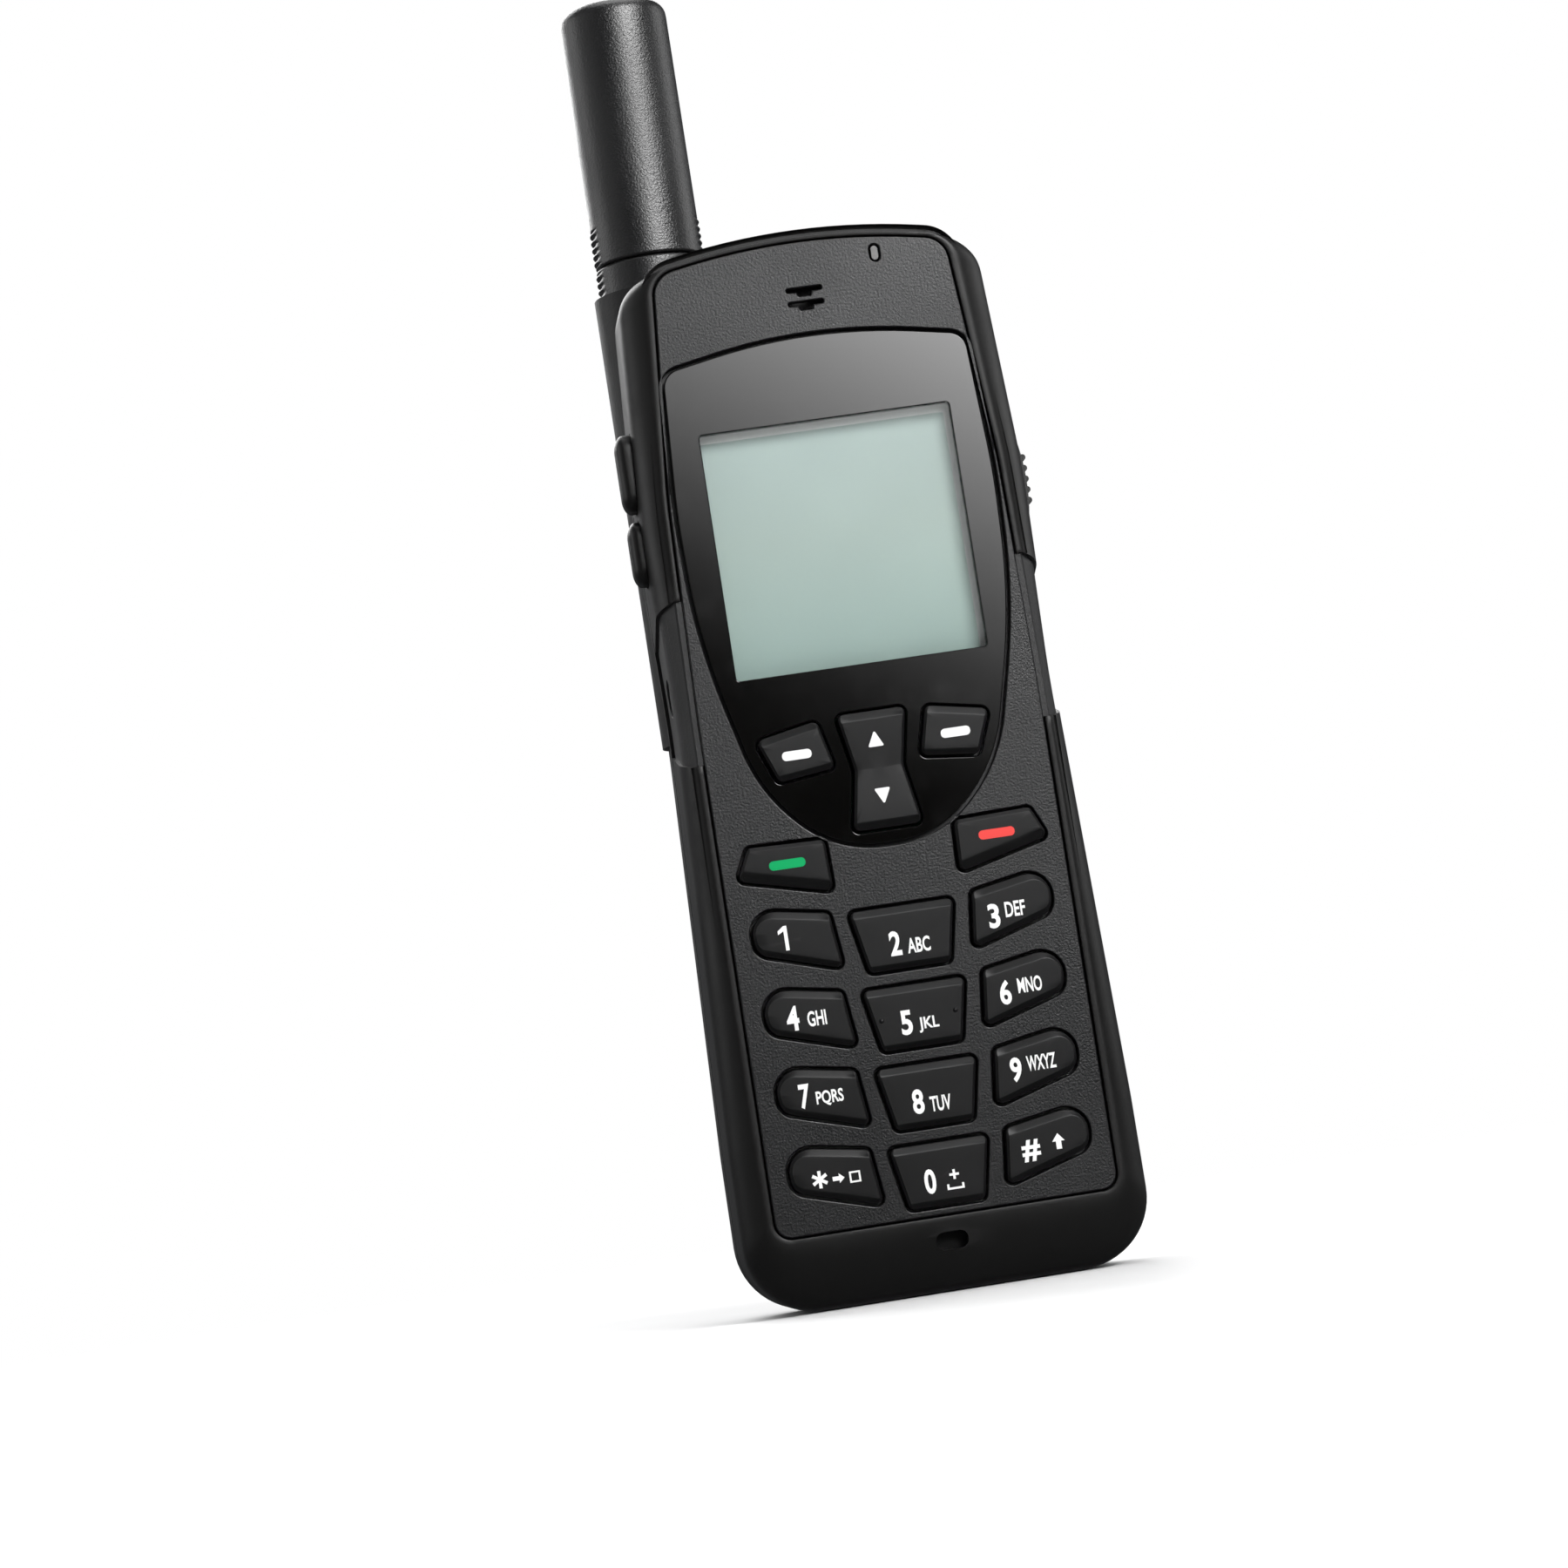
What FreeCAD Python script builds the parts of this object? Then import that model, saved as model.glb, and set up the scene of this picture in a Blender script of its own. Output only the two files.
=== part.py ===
import FreeCAD, Part
import math
import os
import re

# Handheld satellite phone with an extendable antenna, millimetres, +Z up.
# X runs to the right as seen from the keypad, Y runs from the keypad to the back,
# and the origin is the middle of the flat bottom end, halfway through the body's depth.

V = FreeCAD.Vector
doc = FreeCAD.newDocument("satellite_phone")

# ---------------------------------------------------------------- driving dimensions
# Depths named *_ahead are distances in front of the body's middle plane (towards -Y).
DIMENSIONS = {
    "front_ahead": 15.0,
    "panel_thick": 1.3,
    "case_wall_thick": 1.2,
    "lens_thick": 1.15,
    "mask_thick": 0.15,
    "step_ahead": 10.4,
    "step_thick": 1.2,
    "front_seam_ahead": -0.7,
    "gasket_thick": 0.6,
    "back_behind": 15.0,
    "key_proud": 1.0,
    "key_gap": 0.35,
    "key_travel": 0.5,
    "key_lip": 0.5,
    "key_lip_thick": 0.4,
    "plunger_radius": 1.5,
    "row_pitch": 10.62,
    "board_thick": 1.0,
    "keypad_board_ahead": 10.4,
    "main_board_ahead": 5.2,
    "chassis_ahead": 9.2,
    "boss_radius": 2.3,
    "screw_radius": 1.0,
    "screw_head_radius": 1.9,
    "screw_head_thick": 1.2,
    "antenna_side": -18.35,
    "antenna_behind": 6.0,
    "antenna_radius": 7.55,
    "antenna_seam": 146.5,
    "antenna_top": 183.4,
    "antenna_dome": 2.2,
    "antenna_wall": 1.2,
    "antenna_base_bottom": 120.0,
    "barrel_bore": 7.75,
    "barrel_outer": 8.45,
    "barrel_bottom": 79.0,
    "barrel_top": 142.3,
    "battery_half": 19.5,
    "battery_bottom": 10.0,
    "battery_top": 76.4,
    "battery_front": 7.9,
    "bay_floor": 6.8,
    "bay_floor_thick": 1.3,
    "bay_gap": 0.2,
    "flap_low": 99.0,
    "flap_high": 117.0,
    "flap_front": -5.0,
    "flap_back": 7.0,
    "flap_inside": 25.1,
    "cover_left": -14.5,
    "cover_right": 16.5,
    "cover_front": -6.0,
    "cover_back": 6.0,
    "cover_thick": 1.5,
    "volume_front": -10.2,
    "volume_back": -3.6,
    "volume_outside": 28.1,
    "headset_bore": 1.25,
    "headset_height": 84.6,
    "headset_behind": -5.4,
    "headset_outer": 2.6,
}

sheet = doc.addObject("Spreadsheet::Sheet", "Dimensions")
for row_number, (alias, value) in enumerate(DIMENSIONS.items(), start=1):
    sheet.set("A%d" % row_number, alias)
    sheet.set("B%d" % row_number, str(value))
    sheet.setAlias("B%d" % row_number, alias)
doc.recompute()


def dim(alias):
    return float(getattr(sheet, alias))


def cell(text):
    """The expression that reads sheet cells, from words such as 'front_ahead - panel_thick'."""
    return re.sub(r"[a-z][a-z_]+", lambda word: "Dimensions." + word.group(), text)


# ---------------------------------------------------------------- outlines
# An outline is a list of corners (across, up, radius). A half outline holds the right-hand
# corners from the bottom to the top and is mirrored, and an apex lies on the middle line.
PANEL = [
    (23.1, 10.2, 2.2),
    (23.1, 80, 150),
    (22.5, 110, 100),
    (20.0, 140.5, 3.5),
    (0, 144.2, 90),
]
FRONT_RIM = [
    (23.9, 9.3, 3),
    (24.1, 22, 100),
    (23.9, 80, 150),
    (23.2, 110, 100),
    (20.9, 141.0, 4.2),
    (0, 144.9, 90),
]
FULL = [
    (27.6, 0, 9.5),
    (27.5, 22, 100),
    (26.0, 80, 200),
    (26.5, 108, 150),
    (24.9, 140.2, 5.5),
    (0, 145.86, 80),
]
BACK = [
    (22.2, 6, 8),
    (22.5, 22, 100),
    (21.5, 80, 200),
    (21.8, 108, 150),
    (20.0, 134, 6),
    (0, 138.0, 55),
]
LENS = [
    (6.9, 60.3, 15),
    (15.95, 69.3, 22),
    (21.2, 90.6, 90),
    (21.7, 108, 100),
    (20.7, 127.2, 2.6),
    (0, 131.0, 75),
]
NAV = [
    (-4.7, 78.1, 0.8),
    (4.7, 78.1, 0.8),
    (3.3, 70.4, 2.5),
    (4.7, 62.3, 0.8),
    (-4.7, 62.3, 0.8),
    (-3.3, 70.4, 2.5),
]
SOFT_LEFT = [(-15.9, 76.2, 0.9), (-7.4, 77.8, 0.9), (-5.8, 71.2, 0.9), (-13.6, 70.3, 0.9)]
SEND = [(-19.2, 62.2, 0.8), (-8.8, 61.9, 0.8), (-8.6, 54.9, 0.8), (-21.1, 58.0, 0.8)]
OUTER_KEY = [(-20.6, 54.0, 3.0), (-9.7, 52.1, 0.8), (-8.8, 44.5, 0.8), (-20.0, 47.9, 2.2)]
MIDDLE_KEY = [(-7.1, 51.7, 0.8), (7.1, 51.7, 0.8), (5.5, 43.3, 0.8), (-5.5, 43.3, 0.8)]
OUTER_KEY_ROW_SHIFT = 0.15
MIDDLE_KEY_ROW_SHIFT = 0.14


def mirrored(corners):
    return [(-x, z, r) for x, z, r in reversed(corners)]


def whole(half):
    """The closed outline of a half outline, whose apexes lie on the middle line."""
    return half + [corner for corner in mirrored(half) if corner[0] != 0]


def unit(start, end):
    step = V(end[0] - start[0], end[1] - start[1], 0)
    return step.normalize()


def grow(corners, distance):
    """The outline moved outwards by a distance all round, or inwards if it is negative."""
    count = len(corners)
    area = 0.0
    for i, (x, z, _) in enumerate(corners):
        after = corners[(i + 1) % count]
        area += x * after[1] - after[0] * z
    turn = 1.0 if area > 0 else -1.0
    moved = []
    for i, here in enumerate(corners):
        arriving = unit(corners[i - 1], here)
        leaving = unit(here, corners[(i + 1) % count])
        normal_in = V(arriving.y, -arriving.x, 0) * turn
        normal_out = V(leaving.y, -leaving.x, 0) * turn
        reach = distance / (1.0 + normal_in.dot(normal_out))
        convex = (arriving.x * leaving.y - arriving.y * leaving.x) * turn > 0
        radius = here[2] + (distance if convex else -distance)
        push = (normal_in + normal_out) * reach
        moved.append((here[0] + push.x, here[1] + push.y, max(radius, 0.05)))
    return moved


def between(one, other, share):
    """The outline a share of the way from one outline to another with as many corners."""
    mixed = []
    for a, b in zip(one, other):
        mixed.append(tuple(p + (q - p) * share for p, q in zip(a, b)))
    return mixed


def moved(corners, across, up):
    return [(x + across, z + up, r) for x, z, r in corners]


def rectangle(left, low, right, high, radius=0.0):
    return [(left, low, radius), (right, low, radius), (right, high, radius), (left, high, radius)]


def curves(corners):
    """Straight runs joined by tangent arcs, as curves in the sketch plane."""
    count = len(corners)
    stations = []
    for i, (x, z, radius) in enumerate(corners):
        here = V(x, z, 0)
        if radius <= 0:
            stations.append((here, here, None))
            continue
        to_before = unit(corners[i], corners[i - 1])
        to_after = unit(corners[i], corners[(i + 1) % count])
        half = to_before.getAngle(to_after) / 2
        reach = radius / math.tan(half)
        bisector = (to_before + to_after).normalize()
        middle = here + bisector * (radius / math.sin(half) - radius)
        stations.append((here + to_before * reach, here + to_after * reach, middle))
    made = []
    for i, (start, end, middle) in enumerate(stations):
        if middle is not None:
            made.append(Part.Arc(start, middle, end))
        following = stations[(i + 1) % count][0]
        if (following - end).Length > 1e-6:
            made.append(Part.LineSegment(end, following))
    return made


# ---------------------------------------------------------------- feature helpers
# Positive offsets of a sketch on the XZ plane lie ahead of it, on the XY plane above it,
# and on the YZ plane to its right.
def plane_of(body, role):
    for feature in body.Origin.OriginFeatures:
        if feature.Role == role:
            return feature
    raise ValueError(role)


def sketch_on(body, role, offset, loops):
    sketch = body.newObject("Sketcher::SketchObject", body.Name + "_sketch")
    sketch.AttachmentSupport = (plane_of(body, role), [""])
    sketch.MapMode = "FlatFace"
    sketch.setExpression(".AttachmentOffset.Base.z", cell(offset))
    for loop in loops:
        if isinstance(loop, Part.Circle):
            sketch.addGeometry(loop, False)
        else:
            sketch.addGeometry(curves(loop), False)
    return sketch


def new_body(name):
    body = doc.addObject("PartDesign::Body", name)
    body.Label = name
    return body


def pad(body, role, offset, length, loops):
    """Adds a pad of closed loops to a body, from an offset plane along its normal."""
    feature = body.newObject("PartDesign::Pad", body.Name + "_pad")
    feature.Profile = sketch_on(body, role, offset, loops)
    feature.setExpression("Length", cell(length))
    doc.recompute()
    return feature


def pocket(body, role, offset, length, loops):
    """Cuts closed loops out of a body, from an offset plane against its normal."""
    before = body.Shape.Volume
    feature = body.newObject("PartDesign::Pocket", body.Name + "_pocket")
    feature.Profile = sketch_on(body, role, offset, loops)
    feature.setExpression("Length", cell(length))
    feature.Reversed = False
    doc.recompute()
    if body.Shape.Volume > before - 1e-6:
        raise RuntimeError("a pocket of %s cut nothing" % body.Name)
    return feature


def plate(name, back, thick, loops):
    """A body as thick as stated, from a plane ahead of the middle towards the front."""
    body = new_body(name)
    pad(body, "XZ_Plane", back, thick, loops)
    return body


def column(name, low, height, loops):
    """A body of an outline in plan, from a height upwards."""
    body = new_body(name)
    pad(body, "XY_Plane", low, height, loops)
    return body


def bar(name, left, length, loops):
    """A body of an outline seen from the right, from one side to the other."""
    body = new_body(name)
    pad(body, "YZ_Plane", left, length, loops)
    return body


def block(name, low_corner, high_corner):
    made = doc.addObject("Part::Box", name)
    made.Label = name
    made.Length = high_corner[0] - low_corner[0]
    made.Width = high_corner[1] - low_corner[1]
    made.Height = high_corner[2] - low_corner[2]
    made.Placement = FreeCAD.Placement(V(*low_corner), FreeCAD.Rotation())
    return made


UPWARDS = FreeCAD.Rotation()
BACKWARDS = FreeCAD.Rotation(V(1, 0, 0), -90)
SIDEWAYS = FreeCAD.Rotation(V(0, 1, 0), 90)


def cylinder(name, radius, height, base, rotation=UPWARDS):
    """A cylinder from its base along +Z, +Y (BACKWARDS) or +X (SIDEWAYS)."""
    made = doc.addObject("Part::Cylinder", name)
    made.Label = name
    if isinstance(radius, str):
        made.setExpression("Radius", cell(radius))
    else:
        made.Radius = radius
    if isinstance(height, str):
        made.setExpression("Height", cell(height))
    else:
        made.Height = height
    made.Placement = FreeCAD.Placement(V(*base), rotation)
    return made


def joined(name, pieces):
    made = doc.addObject("Part::MultiFuse", name)
    made.Label = name
    made.Shapes = pieces
    return made


def shared(name, pieces):
    made = doc.addObject("Part::MultiCommon", name)
    made.Label = name
    made.Shapes = pieces
    return made


def cut(name, base, tools):
    made = doc.addObject("Part::Cut", name)
    made.Label = name
    made.Base = base
    made.Tool = tools[0] if len(tools) == 1 else joined(name + "_tools", tools)
    return made


def group(name, pieces):
    """Separate solids of identical pieces that share one node."""
    made = doc.addObject("Part::Compound", name)
    made.Label = name
    made.Links = pieces
    return made


def soften(body, radius, test):
    """Rounds the edges of a body for which test(edge) holds."""
    doc.recompute()
    base = body.Tip
    names = ["Edge%d" % (i + 1) for i, edge in enumerate(base.Shape.Edges) if test(edge)]
    feature = body.newObject("PartDesign::Fillet", body.Name + "_fillet")
    feature.Base = (base, names)
    feature.setExpression("Radius", cell(radius))
    doc.recompute()
    return feature


def edge_at(axis, value):
    """A test for edges that lie in the plane where x, y or z (axis 0, 1 or 2) has a value."""

    def test(edge):
        points = [edge.valueAt(edge.FirstParameter), edge.valueAt(edge.LastParameter)]
        points.append(edge.valueAt((edge.FirstParameter + edge.LastParameter) / 2))
        return all(abs(point[axis] - value) < 1e-4 for point in points)

    return test


def circle(across, up, radius):
    return Part.Circle(V(across, up, 0), V(0, 0, 1), radius)


front_y = -dim("front_ahead")
back_y = dim("back_behind")
seam_y = -dim("front_seam_ahead")
rear_y = seam_y + dim("gasket_thick")
axis_x = dim("antenna_side")
axis_y = dim("antenna_behind")

exported = []


def keep(piece):
    exported.append(piece)
    return piece


# ---------------------------------------------------------------- outer form
# Sections of the whole body from front to back: (distance behind the middle, outline).
def section(name, behind, corners):
    made = doc.addObject("Sketcher::SketchObject", name)
    made.addGeometry(curves(corners), False)
    made.Placement = FreeCAD.Placement(V(0, behind, 0), FreeCAD.Rotation(V(1, 0, 0), 90))
    return made


def outer_form(name, inset):
    rim = grow(whole(FRONT_RIM), -inset)
    full = grow(whole(FULL), -inset)
    back = grow(whole(BACK), -inset)
    stations = [
        (front_y, rim),
        (front_y + 0.6, between(rim, full, 0.30)),
        (front_y + 2.4, between(rim, full, 0.72)),
        (front_y + 4.6, full),
        (6.0, full),
        (11.0, between(full, back, 0.25)),
        (13.8, between(full, back, 0.62)),
        (back_y, back),
    ]
    loft = doc.addObject("Part::Loft", name)
    loft.Sections = [
        section("%s_section_%d" % (name, i), behind, corners)
        for i, (behind, corners) in enumerate(stations)
    ]
    loft.Solid = True
    loft.Ruled = True
    return loft


FAR = 200.0
form = outer_form("form", 0)
waist_form = outer_form("waist_form", 0.5)


# Each end of the waist between the two bumpers slopes, seen from the side.
def below(name, height, slope):
    """A wide block under a plane that rises towards the back from a height at the front face."""
    rise = slope * FAR
    outline = [
        (-FAR, -FAR, 0),
        (FAR, -FAR, 0),
        (FAR, height + rise - slope * front_y, 0),
        (-FAR, height - rise - slope * front_y, 0),
    ]
    return bar(name, "-100", "200", [outline])


LOWER_BUMPER_END = (74.0, 0.2)
UPPER_BUMPER_END = (96.5, -0.3)
below_lower_end = below("below_lower_end", *LOWER_BUMPER_END)
below_upper_end = below("below_upper_end", *UPPER_BUMPER_END)
ahead_of_seam = block("ahead_of_seam", (-FAR, -FAR, -FAR), (FAR, seam_y, FAR))
behind_seam = block("behind_seam", (-FAR, rear_y, -FAR), (FAR, FAR, FAR))

# The core outline is the case under the bumpers, and the hollow lies inside it.
CORE = grow(whole(FULL), -1.7)
HOLLOW = grow(whole(FULL), -3.0)
PANEL_SEAT = whole(PANEL)
TRAY = grow(PANEL_SEAT, -0.5)

barrel_clearance = cylinder("barrel_clearance", "barrel_outer + 0.1", 80, (axis_x, axis_y, 78.0))
port_bay = block("port_bay", (-13.3, -4.9, -1.0), (15.3, 5.2, 8.6))
cover_recess = block(
    "cover_recess",
    (dim("cover_left") - 0.25, dim("cover_front") - 0.25, -1.0),
    (dim("cover_right") + 0.25, dim("cover_back") + 0.25, dim("cover_thick") + 0.05),
)
flap_recess = block(
    "flap_recess",
    (dim("flap_inside") - 0.1, dim("flap_front") - 0.25, dim("flap_low") - 0.25),
    (30.0, dim("flap_back") + 0.25, dim("flap_high") + 0.25),
)
coax_hole = cylinder("coax_hole", 3.2, 12, (17.0, 1.0, 108.0), SIDEWAYS)
headset_y, headset_z = dim("headset_behind"), dim("headset_height")
headset_hole = cylinder(
    "headset_hole",
    "headset_outer + 0.05",
    18,
    (-32.0, headset_y, headset_z),
    SIDEWAYS,
)

# ---------------------------------------------------------------- volume and power keys
VOLUME_KEYS = {"volume_up_key": (110.2, 120.8), "volume_down_key": (100.1, 108.8)}


def volume_outline(low, high, margin):
    front, back = dim("volume_front"), dim("volume_back")
    return rectangle(front - margin, low - margin, back + margin, high + margin, 2.6 + margin)


volume_holes = bar(
    "volume_holes",
    "-40",
    "16.5",
    [volume_outline(low, high, 0.25) for low, high in VOLUME_KEYS.values()],
)
POWER_KEY = rectangle(4.0, -6.0, 13.0, -1.5, 1.8)
power_hole = column("power_hole", "135", "20", [grow(POWER_KEY, 0.25)])
MIC = (0, 6.7)
mic_slot = plate("mic_slot", "11.5", "10", [rectangle(-2.2, 5.5, 2.2, 7.9, 1.1)])
mic_seat = cylinder("mic_seat", 2.05, 2.4, (MIC[0], -11.5, MIC[1]), BACKWARDS)

# ---------------------------------------------------------------- bumpers
bumper_inside = plate("bumper_inside", "step_ahead", "10", [grow(PANEL_SEAT, 0.06)])
bumper_core = plate("bumper_core", "-60", "60 + step_ahead", [CORE])
bumper_front = shared("bumper_front", [form, ahead_of_seam])
lower_bumper_rough = shared("lower_bumper_rough", [bumper_front, below_lower_end])
upper_bumper_rough = cut("upper_bumper_rough", bumper_front, [below_upper_end])
keep(
    cut(
        "lower_bumper",
        lower_bumper_rough,
        [bumper_inside, bumper_core, cover_recess, port_bay, mic_slot, mic_seat],
    )
)
keep(
    cut(
        "upper_bumper",
        upper_bumper_rough,
        [
            bumper_inside,
            bumper_core,
            barrel_clearance,
            flap_recess,
            coax_hole,
            volume_holes,
            power_hole,
        ],
    )
)

# ---------------------------------------------------------------- keys and their openings
front_keys = {}


def key_column(names, corners, across, shift):
    """A column of equal keys, one row pitch apart, that change a little from row to row."""
    for row, name in enumerate(names):
        changed = []
        for x, z, r in corners:
            inner = across == 0 or x > -12
            step = shift * row if inner else 0.0
            if across == 0:
                step = -shift * row if x > 0 else shift * row
            changed.append((x + step, z, r))
        if across > 0:
            changed = mirrored(changed)
        front_keys[name] = moved(changed, 0, -dim("row_pitch") * row)


key_column(["key_1", "key_4", "key_7", "key_star"], OUTER_KEY, -1, OUTER_KEY_ROW_SHIFT)
key_column(["key_2", "key_5", "key_8", "key_0"], MIDDLE_KEY, 0, MIDDLE_KEY_ROW_SHIFT)
key_column(["key_3", "key_6", "key_9", "key_hash"], OUTER_KEY, 1, OUTER_KEY_ROW_SHIFT)
front_keys["send_key"] = SEND
front_keys["end_key"] = mirrored(SEND)
lens_keys = {
    "soft_key_left": SOFT_LEFT,
    "soft_key_right": mirrored(SOFT_LEFT),
    "nav_key": NAV,
}


def middle_of(corners):
    across = [x for x, _, _ in corners]
    up = [z for _, z, _ in corners]
    return (min(across) + max(across)) / 2, (min(up) + max(up)) / 2


def opening_loops(keys):
    return [grow(corners, dim("key_gap")) for corners in keys.values()]


def make_key(name, corners):
    """A cap that stands proud of the front, its retaining lip and its plunger."""
    body = new_body(name)
    pad(body, "XZ_Plane", "front_ahead - 2.6", "key_proud + 2.6", [corners])
    soften(body, "0.45", edge_at(1, front_y - dim("key_proud")))
    lip = grow(corners, dim("key_lip"))
    pad(body, "XZ_Plane", "front_ahead - 3.05", "key_lip_thick + 0.05", [lip])
    across, up = middle_of(corners)
    pad(body, "XZ_Plane", "front_ahead - 3.85", "0.8", [circle(across, up, dim("plunger_radius"))])
    return keep(body)


for key_name, key_corners in front_keys.items():
    make_key(key_name, key_corners)
for key_name in ("soft_key_left", "soft_key_right"):
    make_key(key_name, lens_keys[key_name])

NAV_PLUNGERS = (64.9, 75.7)
nav = new_body("nav_key")
pad(nav, "XZ_Plane", "front_ahead - 2.6", "key_proud + 2.6", [NAV])
soften(nav, "0.45", edge_at(1, front_y - dim("key_proud")))
pad(nav, "XZ_Plane", "front_ahead - 3.3", "0.72", [NAV])
pad(nav, "XZ_Plane", "front_ahead - 3.35", "0.3", [grow(NAV, dim("key_lip"))])
pad(nav, "XZ_Plane", "front_ahead - 3.95", "0.7", [circle(0, up, 1.2) for up in NAV_PLUNGERS])
keep(nav)

# ---------------------------------------------------------------- front panel, lens and mask
EARPIECE_ROWS = (134.2, 136.1)
LED = rectangle(9.8, 138.8, 10.8, 140.8, 0.5)


def earpiece_slot(up):
    """A slot with a deeper notch in its middle."""
    low, notch, high = up - 0.25, up - 0.9, up + 0.3
    return [
        (-2.4, low, 0.2),
        (-1.0, low, 0.1),
        (-0.8, notch, 0.15),
        (0.8, notch, 0.15),
        (1.0, low, 0.1),
        (2.4, low, 0.2),
        (2.4, high, 0.25),
        (-2.4, high, 0.25),
    ]


LENS_GROOVE = 0.35
panel = plate(
    "front_panel",
    "front_ahead - panel_thick",
    "panel_thick",
    [PANEL_SEAT, grow(whole(LENS), LENS_GROOVE), LED]
    + [earpiece_slot(up) for up in EARPIECE_ROWS]
    + opening_loops(front_keys),
)
keep(panel)
lens_openings = opening_loops(lens_keys)
keep(plate("display_lens", "front_ahead - lens_thick", "lens_thick", [whole(LENS)] + lens_openings))
WINDOW = rectangle(-17.1, 84.6, 17.1, 118.2, 0.4)
keep(
    plate(
        "lens_mask",
        "front_ahead - lens_thick - mask_thick",
        "mask_thick",
        [grow(whole(LENS), -0.1), WINDOW] + lens_openings,
    )
)

# ---------------------------------------------------------------- front case
case_tray = plate("case_tray", "step_ahead", "front_ahead - panel_thick - step_ahead", [PANEL_SEAT])
case_core = shared("case_core", [bumper_core, ahead_of_seam])
waist_skin = shared("waist_skin", [waist_form, ahead_of_seam, below_upper_end])
waist_skin = cut("waist_skin_only", waist_skin, [below_lower_end])
waist_front_cut = block("waist_front_cut", (-FAR, -FAR, -FAR), (FAR, front_y + 0.4, FAR))
panel_room = plate("panel_room", "front_ahead - panel_thick", "10", [grow(PANEL_SEAT, 0.06)])
tray_hollow = plate(
    "tray_hollow",
    "step_ahead - step_thick",
    "front_ahead - panel_thick - case_wall_thick - step_ahead + step_thick",
    [TRAY],
)
core_hollow = plate("core_hollow", "-50", "50 + step_ahead - step_thick", [HOLLOW])
window_opening = plate(
    "window_opening",
    "step_ahead",
    "10",
    [grow(WINDOW, 0.6), grow(LED, 0.2)]
    + [rectangle(-3.2, 133.0, 3.2, 136.6, 0.5)]
    + opening_loops(front_keys)
    + lens_openings,
)
case_solid = joined("case_solid", [case_tray, case_core, waist_skin])
keep(
    cut(
        "front_case",
        case_solid,
        [
            waist_front_cut,
            panel_room,
            tray_hollow,
            core_hollow,
            window_opening,
            barrel_clearance,
            flap_recess,
            volume_holes,
            power_hole,
            mic_seat,
            port_bay,
            cover_recess,
            headset_hole,
            coax_hole,
        ],
    )
)

# ---------------------------------------------------------------- rear case
battery_half = dim("battery_half")
bay_gap = dim("bay_gap")
bay_floor = dim("bay_floor")
bay_inside = bay_floor - dim("bay_floor_thick")
BAY = rectangle(
    -battery_half - bay_gap,
    dim("battery_bottom") - bay_gap,
    battery_half + bay_gap,
    dim("battery_top") + bay_gap,
    2.2,
)
LATCH_RECESS = rectangle(-8.3, 77.6, 8.3, 88.4, 1.2)
LATCH_TONGUE_ROOM = rectangle(-3.3, 74.4, 3.3, 80.0)
PIN_SPOT = (21.0, 12.2)
PIN_LOW = 79.5
SCREWS = [(-16.0, 13.8), (16.0, 13.8), (-16.0, 70.5), (16.0, 70.5), (17.5, 128.0), (-3.6, 128.0)]
GRILLE_ROWS = range(5)


def behind(name, start, end, loops):
    """A body between two distances behind the middle plane."""
    return plate(name, "%.4f" % -end, "%.4f" % (end - start), loops)


rear_solid = shared("rear_solid", [form, behind_seam])
rear_hollow = behind("rear_hollow", rear_y - 1.0, bay_inside, [HOLLOW])
upper_hollow = behind("upper_hollow", bay_inside - 0.5, 13.2, [rectangle(-7.6, 90.0, 20.0, 133.5, 3.0)])
battery_bay = behind("battery_bay", bay_floor, back_y + 1.0, [BAY])
barrel = cylinder(
    "barrel",
    "barrel_outer",
    "barrel_top - barrel_bottom",
    (axis_x, axis_y, dim("barrel_bottom")),
)
barrel_bore = cylinder(
    "barrel_bore",
    "barrel_bore",
    70.0,
    (axis_x, axis_y, dim("barrel_bottom") + 1.2),
)
latch_recess = behind("latch_recess", 13.3, back_y + 1.0, [LATCH_RECESS])
tongue_room = behind("tongue_room", 13.25, 14.35, [LATCH_TONGUE_ROOM])
pin_recess = block("pin_recess", (18.4, 10.0, 80.6), (30.0, 20.0, 86.4))
pin_hole = cylinder("pin_hole", 0.9, 8.0, (*PIN_SPOT, PIN_LOW))
grille = behind(
    "grille",
    12.0,
    back_y + 1.0,
    [rectangle(3.0, 110.4 + 2.2 * i, 13.0, 111.5 + 2.2 * i, 0.5) for i in GRILLE_ROWS],
)
rear_bosses = joined(
    "rear_bosses",
    [
        cylinder("rear_boss_%d" % i, "boss_radius", bay_inside + 0.2 - rear_y, (x, rear_y, z), BACKWARDS)
        for i, (x, z) in enumerate(SCREWS)
    ],
)
head_seat = bay_floor - dim("screw_head_thick") + 0.05
screw_clearances = joined(
    "screw_clearances",
    [
        cylinder("screw_clearance_%d" % i, 1.15, 20.0, (x, -5.0, z), BACKWARDS)
        for i, (x, z) in enumerate(SCREWS)
    ],
)
screw_head_rooms = joined(
    "screw_head_rooms",
    [
        cylinder("screw_head_room_%d" % i, "screw_head_radius + 0.1", 20.0, (x, head_seat, z), BACKWARDS)
        for i, (x, z) in enumerate(SCREWS)
    ],
)
hollowed_rear = cut("hollowed_rear", rear_solid, [rear_hollow, upper_hollow])
upper_boss_fill = joined(
    "upper_boss_fill",
    [
        cylinder("upper_boss_%d" % i, "boss_radius + 0.7", 13.4 - bay_inside, (x, bay_inside, z), BACKWARDS)
        for i, (x, z) in enumerate(SCREWS)
        if z > 100
    ],
)
rear_body = joined("rear_body", [hollowed_rear, rear_bosses, upper_boss_fill, barrel])
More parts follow.
